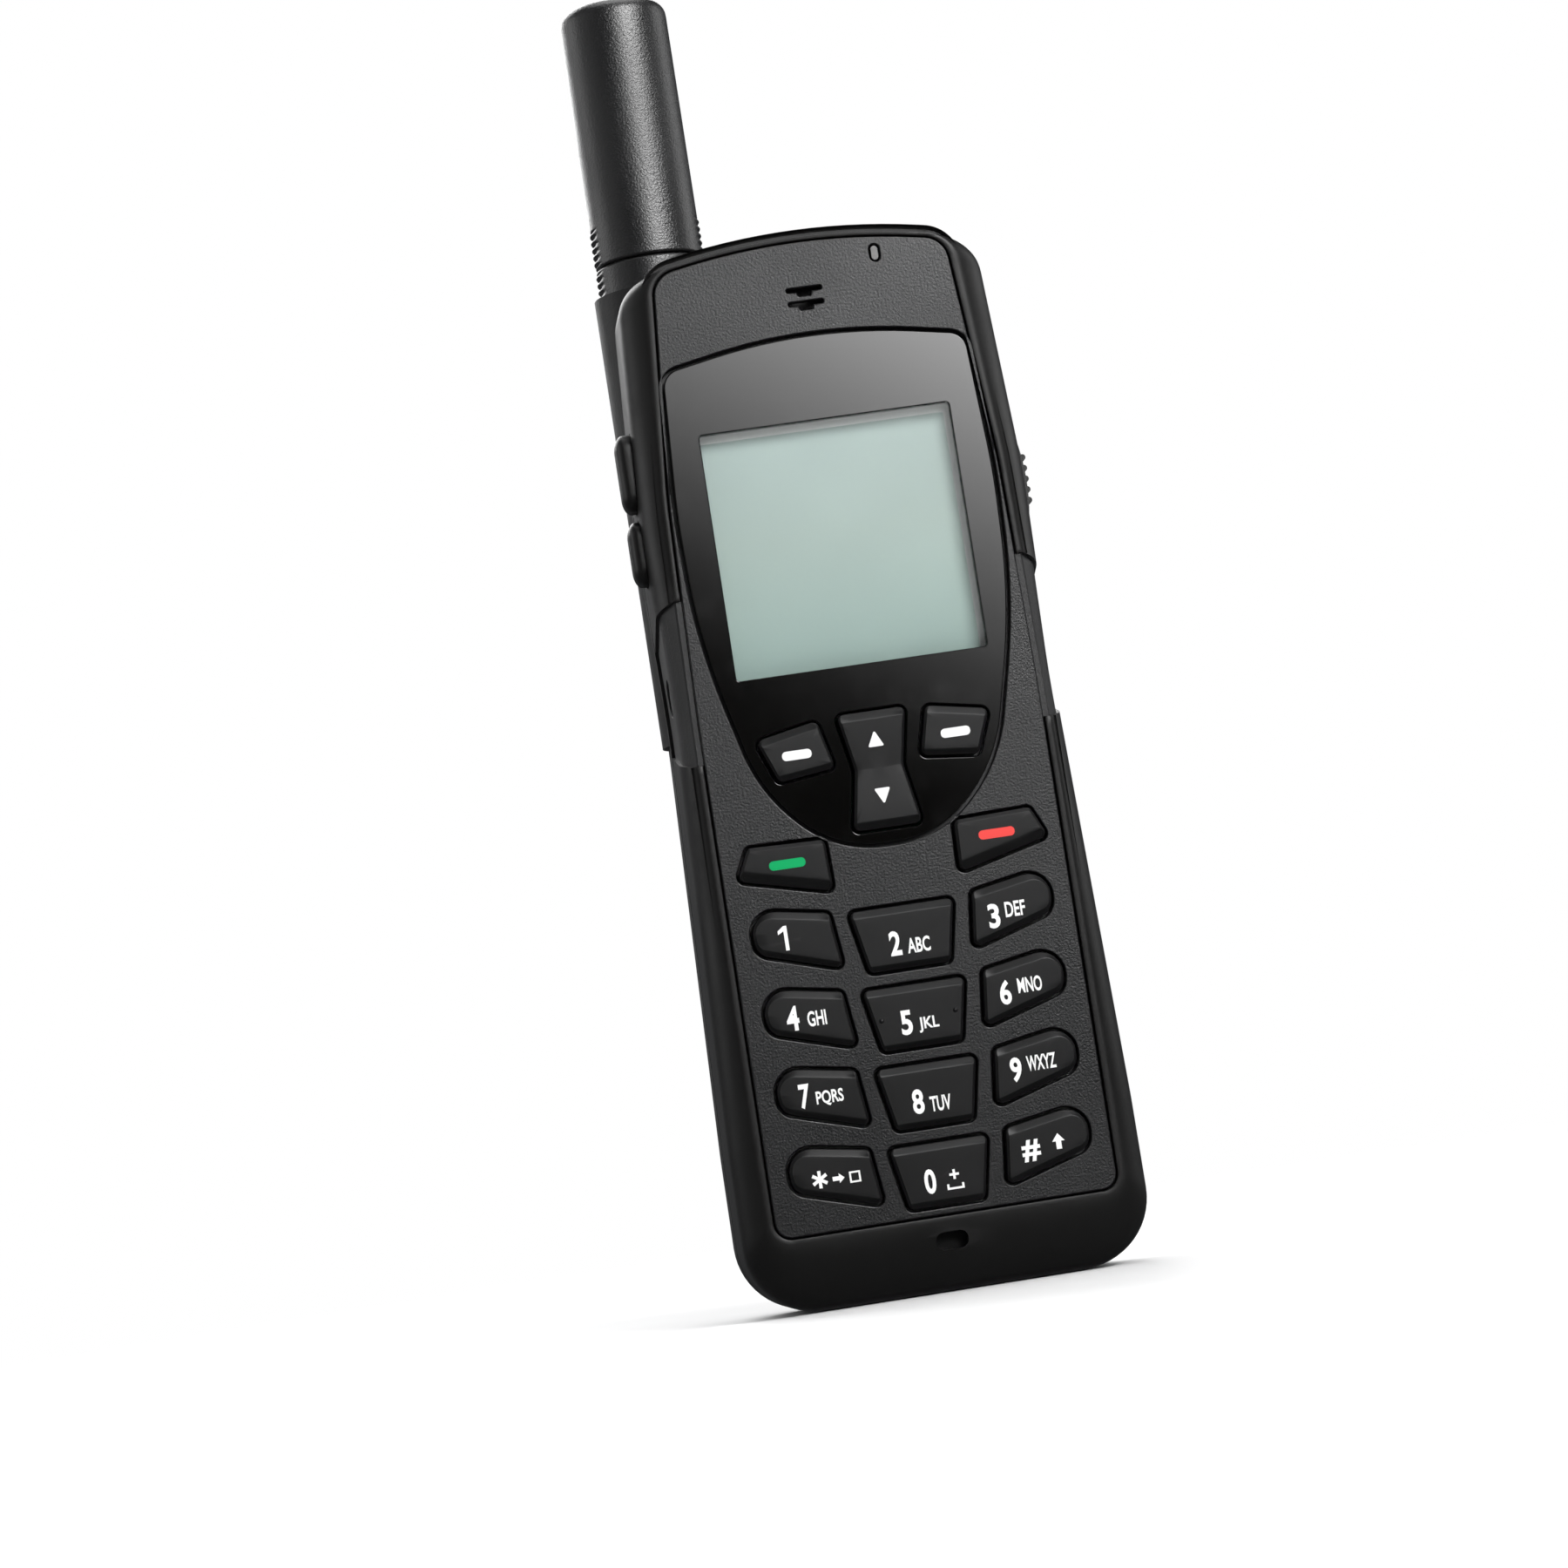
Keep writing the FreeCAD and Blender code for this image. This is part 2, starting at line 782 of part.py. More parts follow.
keep(
    cut(
        "rear_case",
        rear_body,
        [
            battery_bay,
            barrel_bore,
            latch_recess,
            tongue_room,
            pin_recess,
            pin_hole,
            grille,
            screw_clearances,
            screw_head_rooms,
            flap_recess,
            cover_recess,
            port_bay,
            coax_hole,
        ],
    )
)

# ---------------------------------------------------------------- seal between the cases
gasket_ring = plate("gasket_ring", "-%.2f" % rear_y, "gasket_thick", [grow(CORE, -0.2), grow(HOLLOW, 0.2)])
keep(cut("case_gaskets", gasket_ring, [barrel_clearance, port_bay, coax_hole]))

# ---------------------------------------------------------------- screws
SCREW_LENGTH = 9.0
screws = []
for i, (x, z) in enumerate(SCREWS):
    seat = (x, head_seat, z)
    tip = (x, head_seat - SCREW_LENGTH, z)
    head = cylinder("screw_head_%d" % i, "screw_head_radius", "screw_head_thick", seat, BACKWARDS)
    shank = cylinder("screw_shank_%d" % i, "screw_radius", SCREW_LENGTH, tip, BACKWARDS)
    slot = block(
        "screw_slot_%d" % i,
        (x - 1.2, head_seat + 0.6, z - 0.25),
        (x + 1.2, head_seat + 2.0, z + 0.25),
    )
    screws.append(cut("screw_%d" % i, joined("screw_solid_%d" % i, [head, shank]), [slot]))
keep(group("housing_screws", screws))

# ---------------------------------------------------------------- chassis and boards
INSIDE = grow(HOLLOW, -0.35)
chassis_plate = plate("chassis_plate", "chassis_ahead - 1", "1", [INSIDE])
chassis_bosses = joined(
    "chassis_bosses",
    [
        cylinder("chassis_boss_%d" % i, "boss_radius", rear_y - 0.15 + 8.3, (x, -8.3, z), BACKWARDS)
        for i, (x, z) in enumerate(SCREWS)
    ],
)
chassis_screw_holes = joined(
    "chassis_screw_holes",
    [
        cylinder("chassis_screw_hole_%d" % i, "screw_radius", 8.0, (x, -5.0, z), BACKWARDS)
        for i, (x, z) in enumerate(SCREWS)
    ],
)
keep(cut("chassis_frame", joined("chassis_solid", [chassis_plate, chassis_bosses]), [chassis_screw_holes]))

board_holes = [circle(x, z, dim("boss_radius") + 0.3) for x, z in SCREWS]
BOARD = [(22.6, 10.0, 4.0), (21.2, 80, 60), (21.4, 108, 60), (20.4, 137.0, 3.0)]
main_board_plate = plate(
    "main_board_plate",
    "main_board_ahead - board_thick",
    "board_thick",
    [whole(BOARD)] + board_holes,
)
keep(cut("main_board", main_board_plate, [headset_hole, volume_holes]))
KEYPAD_BOARD = rectangle(-21.0, 11.8, 21.0, 78.3, 2.0)
keep(plate("keypad_board", "keypad_board_ahead - 0.8", "0.8", [KEYPAD_BOARD]))

dome_spots = [middle_of(corners) for corners in front_keys.values()]
dome_spots += [middle_of(lens_keys[name]) for name in ("soft_key_left", "soft_key_right")]
dome_spots += [(0, up) for up in NAV_PLUNGERS]
domes = []
for i, (x, z) in enumerate(dome_spots):
    domes.append(cylinder("dome_%d" % i, 2.2, 0.2, (x, -10.6, z), BACKWARDS))
keep(group("key_domes", domes))

membrane_holes = [circle(x, z, dim("plunger_radius") + 0.4) for x, z in dome_spots[:-2]]
membrane_holes.append(rectangle(-5.6, 61.4, 5.6, 79.0, 0.5))
keep(plate("keypad_membrane", "10.9", "0.35", [rectangle(-20.6, 12.2, 20.6, 79.3, 2.0)] + membrane_holes))

# ---------------------------------------------------------------- display
lcd_glass = plate("lcd_module", "10.2", "2.2", [rectangle(-19.6, 81.2, 19.6, 121.5, 0.4)])
keep(lcd_glass)
keep(plate("backlight_panel", "9.2", "1.0", [rectangle(-19.6, 80.6, 19.6, 121.5, 0.4)]))

# ---------------------------------------------------------------- sound, light and vibration parts
keep(cylinder("earpiece_speaker", 5.5, 2.6, (0, -12.5, 134.8), BACKWARDS))
keep(cylinder("ringer_speaker", 6.5, 3.0, (8.0, 10.2, 115.5), BACKWARDS))
keep(cylinder("microphone", 2.0, 1.8, (MIC[0], -11.4, MIC[1]), BACKWARDS))
keep(plate("led_light_pipe", "10.6", "4.4", [grow(LED, -0.05)]))
keep(cylinder("vibration_motor", 4.0, 2.7, (10.0, -4.2, 24.0), BACKWARDS))

SHIELDS = [(-5.5, 84.0, 19.5, 122.0), (-13.5, 32.0, 19.0, 60.0), (-5.5, 62.5, 11.5, 80.0)]
shields = []
for i, (left, low, right, high) in enumerate(SHIELDS):
    shields.append(plate("shield_%d" % i, "2.0", "2.2", [rectangle(left, low, right, high, 0.8)]))
keep(group("shield_cans", shields))

# ---------------------------------------------------------------- sockets
usb_shell = block("usb_shell", (-10.2, -4.2, 3.2), (-2.2, -0.2, 11.4))
usb_mouth = block("usb_mouth", (-9.8, -3.8, 2.0), (-2.6, -0.6, 9.9))
usb_tongue = block("usb_tongue", (-9.0, -2.7, 4.2), (-3.4, -1.9, 10.0))
keep(joined("usb_socket", [cut("usb_hollow", usb_shell, [usb_mouth]), usb_tongue]))
jack_block = block("jack_block", (4.6, -4.2, 3.2), (10.8, 1.4, 13.0))
jack_bore = cylinder("jack_bore", 1.85, 9.0, (7.7, -1.3, 2.6))
jack_pin = cylinder("jack_pin", 0.5, 7.6, (7.7, -1.3, 4.2))
keep(joined("power_jack", [cut("jack_hollow", jack_block, [jack_bore]), jack_pin]))
headset_body = cylinder("headset_body", "headset_outer", 10.5, (-25.4, headset_y, headset_z), SIDEWAYS)
headset_bore = cylinder("headset_bore_cut", "headset_bore", 10.0, (-26.0, headset_y, headset_z), SIDEWAYS)
keep(cut("headset_jack", headset_body, [headset_bore]))
coax_body = cylinder("coax_body", 3.1, 5.0, (19.8, 1.0, 108.0), SIDEWAYS)
coax_bore = cylinder("coax_bore", 1.9, 4.0, (21.5, 1.0, 108.0), SIDEWAYS)
coax_centre = cylinder("coax_centre", 0.45, 3.2, (21.0, 1.0, 108.0), SIDEWAYS)
keep(joined("antenna_port", [cut("coax_hollow", coax_body, [coax_bore]), coax_centre]))

# ---------------------------------------------------------------- battery and SIM
PACK = rectangle(-battery_half, dim("battery_bottom"), battery_half, dim("battery_top"), 2.0)
pack = behind("battery_pack", dim("battery_front"), back_y, [PACK])
pocket(pack, "XZ_Plane", "-13.25", "1.1", [rectangle(-3.3, 74.4, 3.3, 80.0)])
soften(pack, "0.5", edge_at(1, back_y))
TERMINALS = [-4.5, -1.5, 1.5, 4.5]
TERMINAL_LOW, TERMINAL_HIGH = 66.0, 69.0
pocket(
    pack,
    "XZ_Plane",
    "-battery_front + 0.1",
    "0.3",
    [rectangle(x - 1.0, TERMINAL_LOW, x + 1.0, TERMINAL_HIGH) for x in TERMINALS],
)
keep(pack)
keep(
    group(
        "battery_terminals",
        [
            block(
                "battery_terminal_%d" % i,
                (x - 1.0, dim("battery_front") + 0.05, TERMINAL_LOW),
                (x + 1.0, dim("battery_front") + 0.2, TERMINAL_HIGH),
            )
            for i, x in enumerate(TERMINALS)
        ],
    )
)
contact_block = block("contact_block", (-6.5, bay_floor, 64.5), (6.5, bay_floor + 0.6, 70.5))
contact_blades = [
    block(
        "contact_blade_%d" % i,
        (x - 0.5, bay_floor + 0.5, 66.4),
        (x + 0.5, dim("battery_front") - 0.02, 68.6),
    )
    for i, x in enumerate(TERMINALS)
]
keep(joined("battery_contacts", [contact_block] + contact_blades))
SIM_LEFT, SIM_LOW, SIM_RIGHT, SIM_HIGH = -8.0, 24.0, 7.0, 49.0
SIM_CORNER = 3.0
SIM_OUTLINE = [
    (SIM_LEFT, SIM_LOW, 0.5),
    (SIM_RIGHT - SIM_CORNER, SIM_LOW, 0),
    (SIM_RIGHT, SIM_LOW + SIM_CORNER, 0),
    (SIM_RIGHT, SIM_HIGH, 0.5),
    (SIM_LEFT, SIM_HIGH, 0.5),
]
keep(behind("sim_card", bay_floor, bay_floor + 0.76, [SIM_OUTLINE]))
holder_solid = block(
    "holder_solid",
    (SIM_LEFT - 1.2, bay_floor, 30.0),
    (SIM_RIGHT + 1.2, dim("battery_front") - 0.05, 44.0),
)
holder_room = block(
    "holder_room",
    (SIM_LEFT - 0.1, bay_floor - 1, 20.0),
    (SIM_RIGHT + 0.1, bay_floor + 0.8, 60.0),
)
keep(cut("sim_holder", holder_solid, [holder_room]))

# ---------------------------------------------------------------- battery latch and lanyard pin
latch = behind("battery_latch", 13.35, 14.75, [rectangle(-8.0, 77.8, 8.0, 85.6, 1.0)])
pad(latch, "XZ_Plane", "-14.25", "0.9", [rectangle(-3.0, 75.0, 3.0, 78.5)])
pad(
    latch,
    "XZ_Plane",
    "-15.0",
    "0.4",
    [rectangle(-6.0, 79.2 + 1.3 * i, 6.0, 79.8 + 1.3 * i, 0.25) for i in range(4)],
)
keep(latch)
keep(cylinder("lanyard_pin", 0.9, 8.0, (*PIN_SPOT, PIN_LOW)))

# ---------------------------------------------------------------- side keys
def make_side_key(name, low, high):
    body = new_body(name)
    outline = volume_outline(low, high, 0.0)
    pad(body, "YZ_Plane", "-volume_outside", "volume_outside - 25", [outline])
    soften(body, "0.9", edge_at(0, -dim("volume_outside")))
    pad(body, "YZ_Plane", "-25.05", "1.0", [grow(outline, -0.6)])
    return keep(body)


for key_name, (key_low, key_high) in VOLUME_KEYS.items():
    make_side_key(key_name, key_low, key_high)

power_key = column("power_key", "138.6", "5.0", [POWER_KEY])
soften(power_key, "0.4", edge_at(2, 143.6))
keep(power_key)

# ---------------------------------------------------------------- port covers
FLAP_MIDDLE = (dim("flap_low") + dim("flap_high")) / 2
flap = new_body("side_port_cover")
flap_inside = dim("flap_inside")
pad(
    flap,
    "XZ_Plane",
    "-flap_back",
    "flap_back - flap_front",
    [
        [
            (flap_inside, dim("flap_low"), 0),
            (26.6, dim("flap_low"), 0.6),
            (28.1, FLAP_MIDDLE, 30.0),
            (26.3, dim("flap_high"), 0.6),
            (flap_inside, dim("flap_high"), 0),
        ]
    ],
)
FLAP_RIBS = 5
for i in range(FLAP_RIBS):
    up = FLAP_MIDDLE + (i - 2) * 1.5
    pad(flap, "XZ_Plane", "-flap_back + 1.5", "flap_back - flap_front - 3", [circle(27.75, up, 0.45)])
keep(flap)

cover = bar(
    "bottom_port_cover",
    "cover_left",
    "cover_right - cover_left",
    [
        [
            (dim("cover_front"), 0.0, 0.6),
            (dim("cover_back"), 0.0, 0.3),
            (dim("cover_back"), dim("cover_thick"), 0.2),
            (dim("cover_front"), dim("cover_thick"), 0.2),
        ]
    ],
)
keep(cover)

# ---------------------------------------------------------------- antenna
def antenna_cylinder(name, radius, low, high):
    return cylinder(name, radius, high - low, (axis_x, axis_y, low))


def rib_grooves(name, heights):
    """Grooves round the back half of the antenna, which leave grip ribs between them."""
    radius = dim("antenna_radius")
    front_half = block(name + "_front", (-60, -60, 0), (60, axis_y - 1.0, FAR))
    rings = []
    for i, up in enumerate(heights):
        outer = antenna_cylinder("%s_outer_%d" % (name, i), radius + 1, up, up + 0.55)
        inner = antenna_cylinder("%s_inner_%d" % (name, i), radius - 0.35, up - 0.1, up + 0.65)
        rings.append(cut("%s_ring_%d" % (name, i), outer, [inner]))
    return cut(name, joined(name + "_rings", rings), [front_half])


RIB_PITCH = 1.05
RIB_COUNT = 4
seam = dim("antenna_seam")
antenna_radius = dim("antenna_radius")
sleeve_bottom = seam + 0.25
sleeve = new_body("antenna_sleeve_outside")
pad(
    sleeve,
    "XY_Plane",
    "antenna_seam + 0.25",
    "antenna_top - antenna_seam - 0.25",
    [circle(axis_x, axis_y, antenna_radius)],
)
soften(sleeve, "antenna_dome", edge_at(2, dim("antenna_top")))
sleeve_room = antenna_cylinder(
    "sleeve_room",
    antenna_radius - dim("antenna_wall"),
    sleeve_bottom - 1,
    dim("antenna_top") - 2.6,
)
upper_grooves = rib_grooves("upper_grooves", [seam + 1.0 + RIB_PITCH * i for i in range(RIB_COUNT)])
keep(cut("antenna_sleeve", sleeve, [sleeve_room, upper_grooves]))
former = antenna_cylinder("helix_former", 5.2, seam + 6.0, dim("antenna_top") - 2.6)
former_room = antenna_cylinder("former_room", 3.4, seam, FAR)
keep(cut("antenna_element", former, [former_room]))

base_bottom = dim("antenna_base_bottom")
base_outside = antenna_cylinder("base_outside", antenna_radius, base_bottom, seam)
base_spigot = antenna_cylinder("base_spigot", 6.2, seam - 1, seam + 5.0)
base_room = antenna_cylinder("base_room", 4.8, base_bottom - 1, seam + 6)
lower_grooves = rib_grooves("lower_grooves", [seam - 0.45 - RIB_PITCH * (i + 1) for i in range(RIB_COUNT)])
keep(cut("antenna_base", joined("base_solid", [base_outside, base_spigot]), [base_room, lower_grooves]))
contact_stem = cylinder("contact_stem", 0.8, 40.0, (axis_x, axis_y, dim("barrel_bottom") + 1.2))
contact_foot = cylinder("contact_foot", 2.6, 1.0, (axis_x, axis_y, dim("barrel_bottom") + 1.2))
keep(joined("antenna_contact", [contact_stem, contact_foot]))

# ---------------------------------------------------------------- checks and files
doc.recompute()
for thing in doc.Objects:
    failed = [state for state in thing.State if state in ("Invalid", "Error")]
    if failed:
        raise RuntimeError("%s did not recompute: %s" % (thing.Label, failed))
for piece in exported:
    if piece.Shape.isNull() or not piece.Shape.isValid():
        raise RuntimeError("%s has no valid shape" % piece.Label)

os.makedirs("parts", exist_ok=True)
for piece in exported:
    piece.Shape.exportStep(os.path.join("parts", piece.Label + ".step"))
print("wrote %d parts" % len(exported))
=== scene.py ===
import math
from contextlib import contextmanager

import bmesh
import bpy
from mathutils import Matrix, Vector
from mathutils.bvhtree import BVHTree


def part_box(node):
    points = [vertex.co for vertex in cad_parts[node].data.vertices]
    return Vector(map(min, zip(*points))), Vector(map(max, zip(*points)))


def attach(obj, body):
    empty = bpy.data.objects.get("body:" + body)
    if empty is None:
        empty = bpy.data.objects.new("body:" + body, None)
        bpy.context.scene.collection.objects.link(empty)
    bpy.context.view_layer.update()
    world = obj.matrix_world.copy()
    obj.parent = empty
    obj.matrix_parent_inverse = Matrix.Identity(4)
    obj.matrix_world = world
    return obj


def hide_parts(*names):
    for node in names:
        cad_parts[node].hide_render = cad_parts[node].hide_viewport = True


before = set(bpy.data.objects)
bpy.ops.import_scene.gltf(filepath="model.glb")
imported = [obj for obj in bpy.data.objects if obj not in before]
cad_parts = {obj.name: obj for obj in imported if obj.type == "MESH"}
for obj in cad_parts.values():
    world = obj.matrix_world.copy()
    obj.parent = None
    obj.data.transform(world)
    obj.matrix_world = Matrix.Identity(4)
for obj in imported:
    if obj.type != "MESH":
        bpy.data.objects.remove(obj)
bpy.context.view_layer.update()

MM = 0.001
BODY = "handset"


def low_high(node):
    """The two corners of a node's box, in millimetres."""
    return [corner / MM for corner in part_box(node)]


# ------------------------------------------------------------------ places read from the frame
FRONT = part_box("front_panel")[0].y / MM
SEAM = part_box("case_gaskets")[0].y / MM
KEY_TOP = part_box("key_5")[0].y / MM
SLEEVE_LOW, SLEEVE_HIGH = low_high("antenna_sleeve")
AXIS_X = (SLEEVE_LOW.x + SLEEVE_HIGH.x) / 2
AXIS_Y = (SLEEVE_LOW.y + SLEEVE_HIGH.y) / 2
ANTENNA_R = (SLEEVE_HIGH.x - SLEEVE_LOW.x) / 2

# ------------------------------------------------------------------ outlines, millimetres
# Corners are (across, up, radius). A half outline is mirrored, and its apex lies on the middle line.
PANEL = [
    (23.1, 10.2, 2.2), (23.1, 22, 100), (23.1, 80, 150), (22.5, 110, 100), (20.0, 140.5, 3.5),
    (0, 144.2, 90),
]
RIM = [
    (23.9, 9.3, 3), (24.1, 22, 100), (23.9, 80, 150), (23.2, 110, 100), (20.9, 141.0, 4.2),
    (0, 144.9, 90),
]
FULL = [
    (27.6, 0, 9.5), (27.5, 22, 100), (26.0, 80, 200), (26.5, 108, 150), (24.9, 140.2, 5.5),
    (0, 145.86, 80),
]
BACK_FACE = [
    (22.2, 6, 8), (22.5, 22, 100), (21.5, 80, 200), (21.8, 108, 150), (20.0, 134, 6),
    (0, 138.0, 55),
]
LENS = [
    (6.9, 60.3, 15), (15.95, 69.3, 22), (21.2, 90.6, 90), (21.7, 108, 100), (20.7, 127.2, 2.6),
    (0, 131.0, 75),
]
NAV = [
    (-4.7, 78.1, 0.8), (4.7, 78.1, 0.8), (3.3, 70.4, 2.5), (4.7, 62.3, 0.8), (-4.7, 62.3, 0.8),
    (-3.3, 70.4, 2.5),
]
SOFT_LEFT = [(-15.9, 76.2, 0.9), (-7.4, 77.8, 0.9), (-5.8, 71.2, 0.9), (-13.6, 70.3, 0.9)]
SEND = [(-19.2, 62.2, 0.8), (-8.8, 61.9, 0.8), (-8.6, 54.9, 0.8), (-21.1, 58.0, 0.8)]
OUTER_KEY = [(-20.6, 54.0, 3.0), (-9.7, 52.1, 0.8), (-8.8, 44.5, 0.8), (-20.0, 47.9, 2.2)]
MIDDLE_KEY = [(-7.1, 51.7, 0.8), (7.1, 51.7, 0.8), (5.5, 43.3, 0.8), (-5.5, 43.3, 0.8)]
ROW_PITCH = 10.62
OUTER_SHIFT, MIDDLE_SHIFT = 0.15, 0.14
KEY_GAP = 0.35
WINDOW = (-17.1, 84.6, 17.1, 118.2)
POWER_CORNER = 1.8
PANEL_THICK = 1.3
EARPIECE_SLOTS = (134.2, 136.1)
NAV_MIDDLE, NAV_REACH = NAV[2][1], 7.0


def mirrored(corners):
    return [(-x, z, r) for x, z, r in reversed(corners)]


def whole(half):
    return half + [corner for corner in mirrored(half) if corner[0] != 0]


def rectangle(left, low, right, high, radius=0.0):
    return [(left, low, radius), (right, low, radius), (right, high, radius), (left, high, radius)]


def grow(corners, distances):
    """The outline with each edge moved outwards by its own distance, or all by one."""
    count = len(corners)
    if not hasattr(distances, "__len__"):
        distances = [distances] * count
    area = sum(
        corners[i][0] * corners[(i + 1) % count][1] - corners[(i + 1) % count][0] * corners[i][1]
        for i in range(count)
    )
    turn = 1.0 if area > 0 else -1.0
    grown = []
    for i in range(count):
        x, z, radius = corners[i]
        before, after = corners[i - 1], corners[(i + 1) % count]
        arriving = Vector((x - before[0], z - before[1])).normalized()
        leaving = Vector((after[0] - x, after[1] - z)).normalized()
        n1 = Vector((arriving.y, -arriving.x)) * turn
        n2 = Vector((leaving.y, -leaving.x)) * turn
        d1, d2 = distances[i - 1], distances[i]
        cross = arriving.x * leaving.y - arriving.y * leaving.x
        here = Vector((x, z))
        if abs(cross) < 1e-3:
            moved = here + (n1 + n2).normalized() * (d1 + d2) / 2
        else:
            moved = here + n1 * d1 + arriving * ((d2 - d1 * n1.dot(n2)) / arriving.dot(n2))
        convex = cross * turn > 0
        change = max(d1, d2, key=abs)
        grown.append((moved.x, moved.y, max(radius + (change if convex else -change), 0.05)))
    return grown


def sampled(corners, arc=8, run=1):
    """Points round the outline: a fixed number on each corner's arc and on each straight run."""
    count = len(corners)
    stations = []
    for i in range(count):
        x, z, radius = corners[i]
        here = Vector((x, z))
        to_before = (Vector(corners[i - 1][:2]) - here).normalized()
        to_after = (Vector(corners[(i + 1) % count][:2]) - here).normalized()
        bisector = to_before + to_after
        half = math.acos(max(-1.0, min(1.0, to_before.dot(to_after)))) / 2
        if radius <= 0 or bisector.length < 1e-4:
            stations.append([here] * (arc + 1))
            continue
        reach = radius / math.tan(half)
        centre = here + bisector.normalized() * (radius / math.sin(half))
        start = here + to_before * reach - centre
        end = here + to_after * reach - centre
        sweep = start.angle_signed(end)
        points = []
        for k in range(arc + 1):
            turn = -sweep * k / arc
            points.append(centre + Matrix.Rotation(turn, 2) @ start)
        stations.append(points)
    loop = []
    for i in range(count):
        loop += stations[i]
        following = stations[(i + 1) % count][0]
        last = stations[i][-1]
        loop += [last.lerp(following, k / run) for k in range(1, run)]
    return loop


def turns(count):
    """Angles at equal steps round a circle."""
    return [2 * math.pi * i / count for i in range(count)]


def circle(x, y, radius, count):
    return [(x + radius * math.cos(a), y + radius * math.sin(a)) for a in turns(count)]


def between(one, other, share):
    return [tuple(p + (q - p) * share for p, q in zip(a, b)) for a, b in zip(one, other)]


# ------------------------------------------------------------------ materials
# How much of a surface's tint follows its fine grain; the rest follows its broad patches.
FINE_SHARE = 0.55
# How much of the mirroring of bare glass the coated lens keeps.
LENS_MIRROR = 0.4


def socket(shader, name, value):
    shader.inputs[name].default_value = value


def blank_material(name):
    """A new node material, with its nodes and its way of linking them."""
    made = bpy.data.materials.new(name)
    made.use_nodes = True
    return made, made.node_tree.nodes, made.node_tree.links.new


def added(nodes, kind, operation=None, values=None):
    """A shader node, with its operation and the values of some of its inputs."""
    made = nodes.new("ShaderNode" + kind)
    if operation:
        made.operation = operation
    for name, value in (values or {}).items():
        socket(made, name, value)
    return made


def mapped(nodes, link, source, from_low, from_high, to_low=0.0, to_high=1.0):
    """A node that moves a value from one range to another."""
    values = {"From Min": from_low, "From Max": from_high, "To Min": to_low, "To Max": to_high}
    made = added(nodes, "MapRange", values=values)
    link(source, made.inputs["Value"])
    return made


def material(
    name, colour, rough, grain=0.0, grain_size=0.3, spread=0.12, rough_spread=0.06, wear=0.0, smudge=0.0,
    specular=0.5, metallic=0.0,
):
    """Moulded plastic, rubber, print or metal. The grain, a bump's depth, and its size are in mm."""
    made, nodes, link = blank_material(name)
    shader = nodes["Principled BSDF"]
    socket(shader, "Specular IOR Level", specular)
    socket(shader, "Metallic", metallic)
    where = added(nodes, "TexCoord")

    def noise(size, detail, roughness=0.55):
        values = {"Scale": 1.0 / (size * MM), "Detail": detail, "Roughness": roughness}
        made_noise = added(nodes, "TexNoise", values=values)
        link(where.outputs["Object"], made_noise.inputs["Vector"])
        return made_noise

    fine = noise(grain_size, 3.0)
    broad = noise(22.0, 4.0)
    # Colour: a little lighter and darker with the grain and in broad patches.
    tint = nodes.new("ShaderNodeMix")
    tint.data_type = "RGBA"
    low = [c * (1 - spread) for c in colour]
    high = [c * (1 + spread) for c in colour]
    tint.inputs["A"].default_value = (*low, 1)
    tint.inputs["B"].default_value = (*high, 1)
    blend = added(nodes, "Math", "MULTIPLY_ADD", {1: FINE_SHARE})
    link(fine.outputs["Fac"], blend.inputs[0])
    half = added(nodes, "Math", "MULTIPLY", {1: 1 - FINE_SHARE})
    link(broad.outputs["Fac"], half.inputs[0])
    link(half.outputs[0], blend.inputs[2])
    link(blend.outputs[0], tint.inputs["Factor"])
    colour_out = tint.outputs["Result"]
    rough_range = (rough - rough_spread, rough + rough_spread)
    rough_map = mapped(nodes, link, broad.outputs["Fac"], 0.3, 0.7, *rough_range)
    rough_out = rough_map.outputs["Result"]
    if wear > 0:
        geometry = added(nodes, "NewGeometry")
        edge = mapped(nodes, link, geometry.outputs["Pointiness"], 0.54, 0.68, 0.0, wear)
        worn = nodes.new("ShaderNodeMix")
        worn.data_type = "RGBA"
        worn.inputs["B"].default_value = (*[min(1.0, c * 1.9 + 0.012) for c in colour], 1)
        link(edge.outputs["Result"], worn.inputs["Factor"])
        link(colour_out, worn.inputs["A"])
        colour_out = worn.outputs["Result"]
    if smudge > 0:
        marks = noise(7.0, 6.0, 0.7)
        mark_map = mapped(nodes, link, marks.outputs["Fac"], 0.5, 0.75, 0.0, smudge)
        total = added(nodes, "Math", "ADD")
        link(rough_out, total.inputs[0])
        link(mark_map.outputs["Result"], total.inputs[1])
        rough_out = total.outputs[0]
    link(colour_out, shader.inputs["Base Color"])
    link(rough_out, shader.inputs["Roughness"])
    if grain > 0:
        bump = added(nodes, "Bump", values={"Distance": grain * MM, "Strength": 1.0})
        link(fine.outputs["Fac"], bump.inputs["Height"])
        link(bump.outputs["Normal"], shader.inputs["Normal"])
    return made


